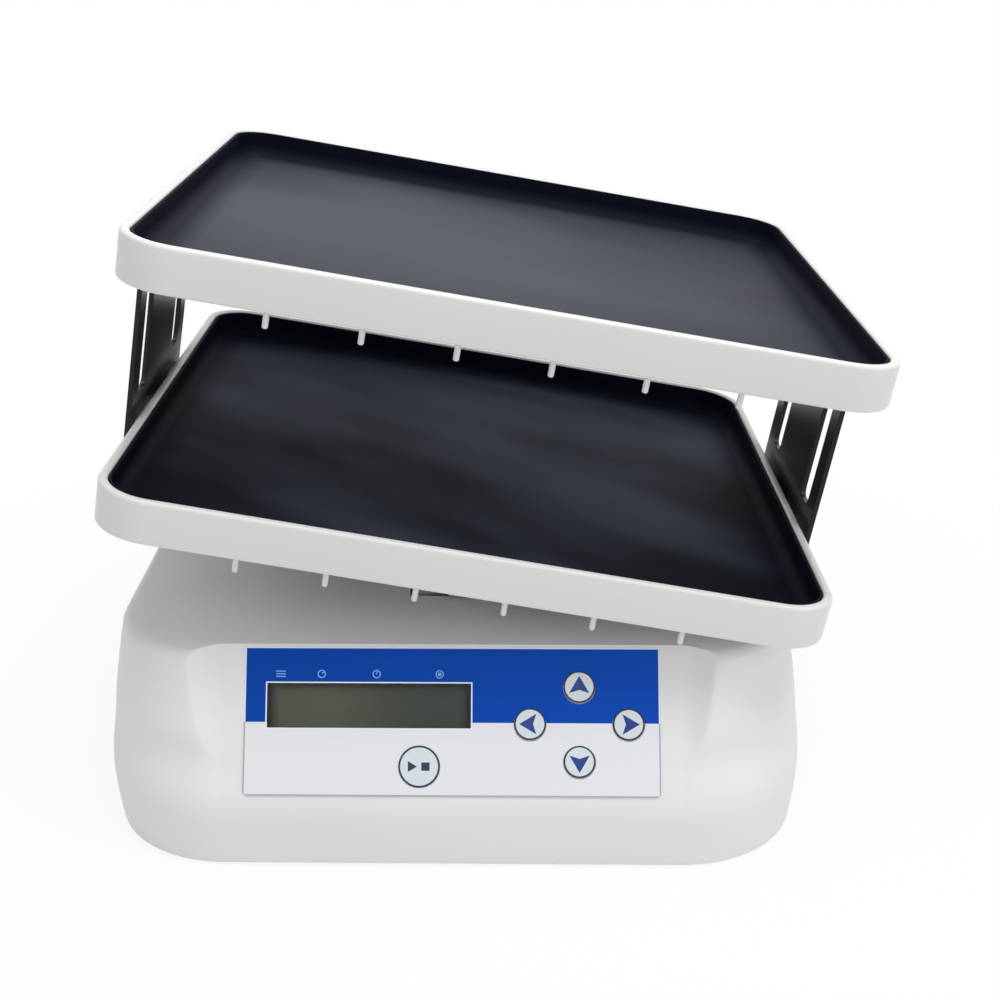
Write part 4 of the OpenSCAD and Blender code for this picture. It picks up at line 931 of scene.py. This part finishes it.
class SHAKER_OT_cover(bpy.types.Operator):
    """Build the moulded cover: outer and inner skin in one closed grid, with its openings cut"""

    bl_idname = "shaker.cover"
    bl_label = "Base cover"

    def execute(self, context):
        s = settings("shell")
        sharp, lip_round, quarter = 48, 0.0008, np.radians([0, 30, 60, 90])
        lip = s.foot + lip_round * (1 - np.cos(quarter))
        rise = np.linspace(lip[-1], s.deck - s.edge, 96)[1:]
        turn = np.sin(np.radians(np.linspace(0, 90, 10)[1:]))
        outer = np.concatenate([lip, rise, s.deck - s.edge + s.edge * turn])
        skin = cover_skin(outer, 0.0, s.deck, s.edge)
        tuck = lip_round * (1 - np.sin(quarter))[:, None]
        way = np.radians(cover_columns()[0])
        skin[:len(quarter), :, 0] -= tuck * np.cos(way)
        skin[:len(quarter), :, 1] -= tuck * np.sin(way)
        inner_edge = max(s.edge - s.wall, 0.001)
        inner = np.concatenate([
            np.linspace(s.foot, s.deck - s.wall - inner_edge, 22),
            s.deck - s.wall - inner_edge + inner_edge * np.sin(quarter[1:])])
        lining = cover_skin(inner, s.wall, s.deck - s.wall, inner_edge)
        shell = stack(np.concatenate([lining[::-1], skin]))
        obj = piece("cover_shell", shell, "white_shell", "base", "base_cover", sharp=sharp)
        carve(obj, sheet_seat())
        carve(obj, cover_cutters())
        shaded(obj.data, sharp)
        return {"FINISHED"}


class SHAKER_OT_console(bpy.types.Operator):
    """Print the keypad sheet, finish the display and build the domed keys"""

    bl_idname = "shaker.console"
    bl_label = "Console"

    def execute(self, context):
        c = settings("console")
        ring, under, centre = np.array([0.75, 0.5, 0.25, 0.0]), -0.00005, 0.02
        for node, turn in KEYS.items():
            low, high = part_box(node)
            radius = (high[0] - low[0]) / 2
            crown = arc(radius - c.key_edge, c.key_top - c.key_edge - c.key_dome, c.key_edge, 0, 80, 5)
            radii = [[c.key_stem, c.key_stem, radius], crown[:, 0], radius * np.maximum(ring, centre)]
            dome = c.key_top - c.key_dome * ring ** 2
            heights = [[-c.key_foot, under + 0.00001, under], crown[:, 1], dome]
            cap = stack(circle_rings(np.concatenate(radii), np.concatenate(heights), 56))
            turn = None if turn is None else math.radians(turn)
            material = key_print("print_" + node, node, radius / MM, turn)
            piece(node + "_cap", moved(cap, key_frame(node)), "key_cap", node + "_cap", node, material)
        for node, slot in (
                ("keypad_sheet", "printed_sheet"), ("display_window", "clear_window"),
                ("display_glass", "display_dark"), ("display_backlight", "display_light"),
                ("display_frame", "dark_plate"), ("display_board", "board"), ("key_board", "board"),
                ("key_switches", "black_plastic"), ("board_screws", "steel"),
                ("panel_ribbons", "lead")):
            painted(node, slot)
        return {"FINISHED"}


def tray_frame(tier):
    """Frame of a tray, tilted with the platform: origin under its floor's middle; tier is 0 or 1."""
    t = settings("tray")
    return at(0, 0, t.axle) @ Matrix.Rotation(t.tilt, 4, "Y") @ at(0, 0, t.rise + tier * t.tier)


class SHAKER_OT_trays(bpy.types.Operator):
    """Build both trays with rounded rims, their coved mats and their band pegs"""

    bl_idname = "shaker.trays"
    bl_label = "Trays"

    def execute(self, context):
        t = settings("tray")
        for tier, (name, body) in enumerate((("lower", "platform"), ("upper", "upper_tier"))):
            pad = (t.pad_lower, t.pad_upper)[tier]
            for part, look, slot, node, material in (
                    (self.tray(pad), "_tray_shell", "white_tray", "_tray", tray_finish(tier)),
                    (self.mat(), "_mat_liner", "black_mat", "_mat", mat_finish(tier)),
                    (self.pegs(), "_band_pegs", "white_tray", "_pegs", None)):
                piece(name + look, moved(part, tray_frame(tier)), slot, body, name + node, material)
        return {"FINISHED"}

    def tray(self, pad):
        """Rim profile swept round a rounded rectangle, with a pad at each side screw."""
        t = settings("tray")
        h, foot, rim_out, rim_in = t.height, t.foot_round, t.rim_out, t.rim_in
        middle, pad_corner, pad_edge, root = 0.03, 0.0012, 0.0003, 0.001
        profile = np.concatenate([
            [[middle, 0.0]], arc(foot, foot, foot, -90, -180, 5),
            arc(rim_out, h - rim_out, rim_out, 180, 90, 7),
            arc(t.wall - rim_in, h - rim_in, rim_in, 90, 0, 6), [[t.wall, t.floor], [middle, t.floor]]])
        parts = [stack(rounded_rings(t.width, t.depth, t.corner, *profile.T, 16))]
        block = stack(rounded_rings(
            t.pad_height, t.pad_length, pad_corner, [0.0, 0.0, pad_edge],
            [-root, pad - pad_edge, pad], 5))
        for side in (-1, 1):
            turn = Matrix.Rotation(side * math.pi / 2, 4, "Y")
            for y in (-t.pad_away, t.pad_away):
                parts.append(moved(block, at(side * t.width / 2, y, t.pad_up) @ turn))
        return joined(parts)

    def mat(self):
        """Mat profile with a rounded lip and a cove, swept round a rounded rectangle."""
        t = settings("tray")
        gap = t.wall + t.mat_fit
        high = t.height - t.floor - t.mat_drop
        foot, lip, under, over = t.mat_foot, t.mat_lip, 0.03, 0.04
        profile = np.concatenate([
            [[under, 0.0]], arc(foot, foot, foot, -90, -180, 3), arc(lip, high - lip, lip, 180, 90, 4),
            arc(t.mat_wall - lip, high - lip, lip, 90, 0, 4),
            arc(t.mat_wall + t.cove, t.mat_floor + t.cove, t.cove, 180, 270, 9), [[over, t.mat_floor]]])
        rings = rounded_rings(t.width - 2 * gap, t.depth - 2 * gap, t.corner - gap, *profile.T, 16)
        return moved(stack(rings), at(0, 0, t.floor))

    def pegs(self):
        """Turned pins with a rounded tip, along the front and back edges."""
        t = settings("tray")
        r, tip, centre, root = t.peg_width / 2, t.peg_tip, 0.0001, 0.0024
        end = arc(r - tip, tip - t.peg_drop, tip, -90, 0, 5)
        radii = np.concatenate([[centre], end[:, 0], [r, r]])
        heights = np.concatenate([[-t.peg_drop], end[:, 1], [0.0, root]])
        pin = stack(circle_rings(radii, heights, 20))
        y = t.depth / 2 - t.peg_in
        return joined([
            moved(pin, at((k - (t.pegs - 1) / 2) * t.peg_pitch, side * y))
            for k in range(t.pegs) for side in (-1, 1)])


class Dressing:
    """Builder that softens some nodes and finishes others, by the lists of its class.

    Soft ones are node, slot, body, bevel and its segments; plain ones are node and slot."""

    soft = ()
    plain = ()

    def execute(self, context):
        for entry in self.soft:
            softened(*entry)
        for entry in self.plain:
            painted(*entry)
        return {"FINISHED"}


class SHAKER_OT_uprights(Dressing, bpy.types.Operator):
    """Soften the uprights, their screws and the guide bushes"""

    bl_idname = "shaker.uprights"
    bl_label = "Uprights"
    soft = (
        ("left_upright", "dark_plate", "platform", 0.0005, 3),
        ("right_upright", "dark_plate", "platform", 0.0005, 3),
        ("upright_screws", "steel", "platform", 0.0002),
        ("slot_bushes", "black_plastic", "upper_tier", 0.0002),
        ("clamp_screws", "steel", "upper_tier", 0.0002))


class SHAKER_OT_drive(Dressing, bpy.types.Operator):
    """Soften and finish the posts, axle, carrier, lever, crank, motor and boards"""

    bl_idname = "shaker.drive"
    bl_label = "Drive"
    soft = (
        ("front_bearing_post", "alloy", "base", 0.0005),
        ("rear_bearing_post", "alloy", "base", 0.0005),
        ("tray_carrier", "alloy", "platform", 0.0005),
        ("rocking_axle", "steel", "platform", 0.0003),
        ("slotted_lever", "alloy", "platform", 0.0004),
        ("axle_rings", "dark_plate", "platform", 0.0001),
        ("crank_disc", "alloy", "crank", 0.0003),
        ("drive_motor", "steel", "base", 0.0005),
        ("gearbox", "alloy", "base", 0.0004),
        ("motor_bracket", "steel", "base", 0.0003))
    plain = (
        ("axle_bearings", "steel"), ("post_screws", "steel"), ("gearbox_screws", "dark_plate"),
        ("bracket_screws", "steel"), ("motor_shaft", "steel"), ("crank_pin", "steel"),
        ("crank_roller", "steel"), ("hub_screws", "dark_plate"), ("carrier_screws", "steel"),
        ("main_board", "board"), ("board_spacers", "pale_plastic"), ("motor_leads", "lead"),
        ("supply_leads", "lead"))


class SHAKER_OT_rear(Dressing, bpy.types.Operator):
    """Soften the rear switch and the power inlet"""

    bl_idname = "shaker.rear"
    bl_label = "Rear"
    soft = (
        ("switch_frame", "black_plastic", "base", 0.0003),
        ("switch_rocker", "black_plastic", "power_switch", 0.0004, 3),
        ("power_inlet", "black_plastic", "base", 0.0003))
    plain = (("inlet_nut", "steel"),)


class SHAKER_OT_underside(Dressing, bpy.types.Operator):
    """Soften the base plate and the rubber feet and finish the cover's screws"""

    bl_idname = "shaker.underside"
    bl_label = "Underside"
    soft = (
        ("base_plate", "steel", "base", 0.0003),
        ("rubber_feet", "foot_rubber", "base", 0.0008, 3))
    plain = (("cover_screws", "steel"),)


class SHAKER_OT_stage(bpy.types.Operator):
    """Set up the pale floor, the white surround, the soft lamps and the camera"""

    bl_idname = "shaker.stage"
    bl_label = "Studio"

    def execute(self, context):
        scene = context.scene
        g = settings("stage")
        scene.view_settings.view_transform = "Standard"
        self.floor(scene, g)
        scene.world = self.surround(g)
        aim = Vector((0, 0, 0.12))
        for name, spot, size, energy in (
                ("key_lamp", (0.3, -0.3, 1.9), 1.2, g.key),
                ("fill_lamp", (1.45, -0.75, 0.75), 0.8, g.fill),
                ("front_lamp", (-0.35, -1.65, 1.05), 1.0, g.front)):
            lamp = bpy.data.lights.new(name, "AREA")
            lamp.shape = "SQUARE"
            lamp.size = size
            lamp.energy = energy
            obj = bpy.data.objects.new(name, lamp)
            obj.location = spot
            obj.rotation_euler = (aim - Vector(spot)).to_track_quat("-Z", "Y").to_euler()
            scene.collection.objects.link(obj)
        self.camera(scene, g)
        return {"FINISHED"}

    def floor(self, scene, g):
        """Flat floor, partly its own white to the camera, so that only the soft shadow shows."""
        reach, near, far = 6, 0.17, 0.42
        corners = [(-reach, -reach, 0), (reach, -reach, 0), (reach, reach, 0), (-reach, reach, 0)]
        mesh = bpy.data.meshes.new("floor")
        mesh.from_pydata(corners, [], [(0, 1, 2, 3)])
        obj = bpy.data.objects.new("floor", mesh)
        scene.collection.objects.link(obj)
        r = Recipe("floor")
        r.tree.nodes.remove(r.surface)
        away = r.node("ShaderNodeVectorMath", {"operation": "LENGTH"}, {0: r.place()}, "Value")
        level = r.node("ShaderNodeMapRange", None, {
            "Value": away, "From Min": near, "From Max": far, "To Min": g.floor_glow}, "Result")
        both = r.node("ShaderNodeMixShader", None, {
            "Fac": r.seen() * level, 1: r.node("ShaderNodeBsdfDiffuse", None, {"Color": g.floor}),
            2: r.node("ShaderNodeEmission")})
        r.feed(r.tree.nodes["Material Output"].inputs["Surface"], both)
        mesh.materials.append(r.owner)

    def surround(self, g):
        """White to the camera and to mirror rays, dimmer as a light."""
        r = Recipe("surround", world=True)
        return r.done(Color=(1, 1, 1, 1), Strength=r.seen() * (1 - g.ambient) + g.ambient)

    def camera(self, scene, g):
        """Camera from its place, yaw, pitch and roll."""
        data = bpy.data.cameras.new("camera")
        data.lens = g.lens
        data.sensor_width = 36
        data.shift_x, data.shift_y = g.shift
        data.clip_start = 0.01
        level = math.cos(g.pitch)
        ahead = Vector((math.sin(g.yaw) * level, math.cos(g.yaw) * level, -math.sin(g.pitch)))
        right = Vector((math.cos(g.yaw), -math.sin(g.yaw), 0))
        up = right.cross(ahead)
        across = right * math.cos(g.roll) + up * math.sin(g.roll)
        above = up * math.cos(g.roll) - right * math.sin(g.roll)
        obj = bpy.data.objects.new("camera", data)
        obj.matrix_world = at(*g.place) @ Matrix((across, above, -ahead)).transposed().to_4x4()
        scene.collection.objects.link(obj)
        scene.camera = obj


class SHAKER_PT_panel(bpy.types.Panel):
    """Lists the builders and the settings"""

    bl_idname = "SHAKER_PT_panel"
    bl_label = "Rocker shaker"
    bl_space_type = "VIEW_3D"
    bl_region_type = "UI"
    bl_category = "Shaker"

    def draw(self, context):
        for operator in OPERATORS:
            self.layout.operator(operator.bl_idname)
        for name, group in GROUPS.items():
            box = self.layout.box()
            box.label(text=name.capitalize())
            for key in group.__annotations__:
                box.prop(settings(name), key)


GROUPS = {
    "shell": ShellSettings, "console": ConsoleSettings, "opening": OpeningSettings,
    "tray": TraySettings, "finish": FinishSettings, "stage": StageSettings}
OPERATORS = (
    SHAKER_OT_cover, SHAKER_OT_console, SHAKER_OT_trays, SHAKER_OT_uprights, SHAKER_OT_drive,
    SHAKER_OT_rear, SHAKER_OT_underside, SHAKER_OT_stage)


def register():
    """Registers the settings, the builders and the panel."""
    for name, group in GROUPS.items():
        bpy.utils.register_class(group)
        setattr(bpy.types.Scene, "shaker_" + name, bpy.props.PointerProperty(type=group))
    for cls in (*OPERATORS, SHAKER_PT_panel):
        bpy.utils.register_class(cls)


def unregister():
    """Takes everything off again."""
    for cls in (SHAKER_PT_panel, *reversed(OPERATORS)):
        bpy.utils.unregister_class(cls)
    for name, group in GROUPS.items():
        delattr(bpy.types.Scene, "shaker_" + name)
        bpy.utils.unregister_class(group)


def main():
    """Builds everything in order."""
    register()
    build = bpy.ops.shaker
    for step in (
            build.cover, build.console, build.trays, build.uprights, build.drive, build.rear,
            build.underside, build.stage):
        step()


if __name__ == "__main__":
    main()
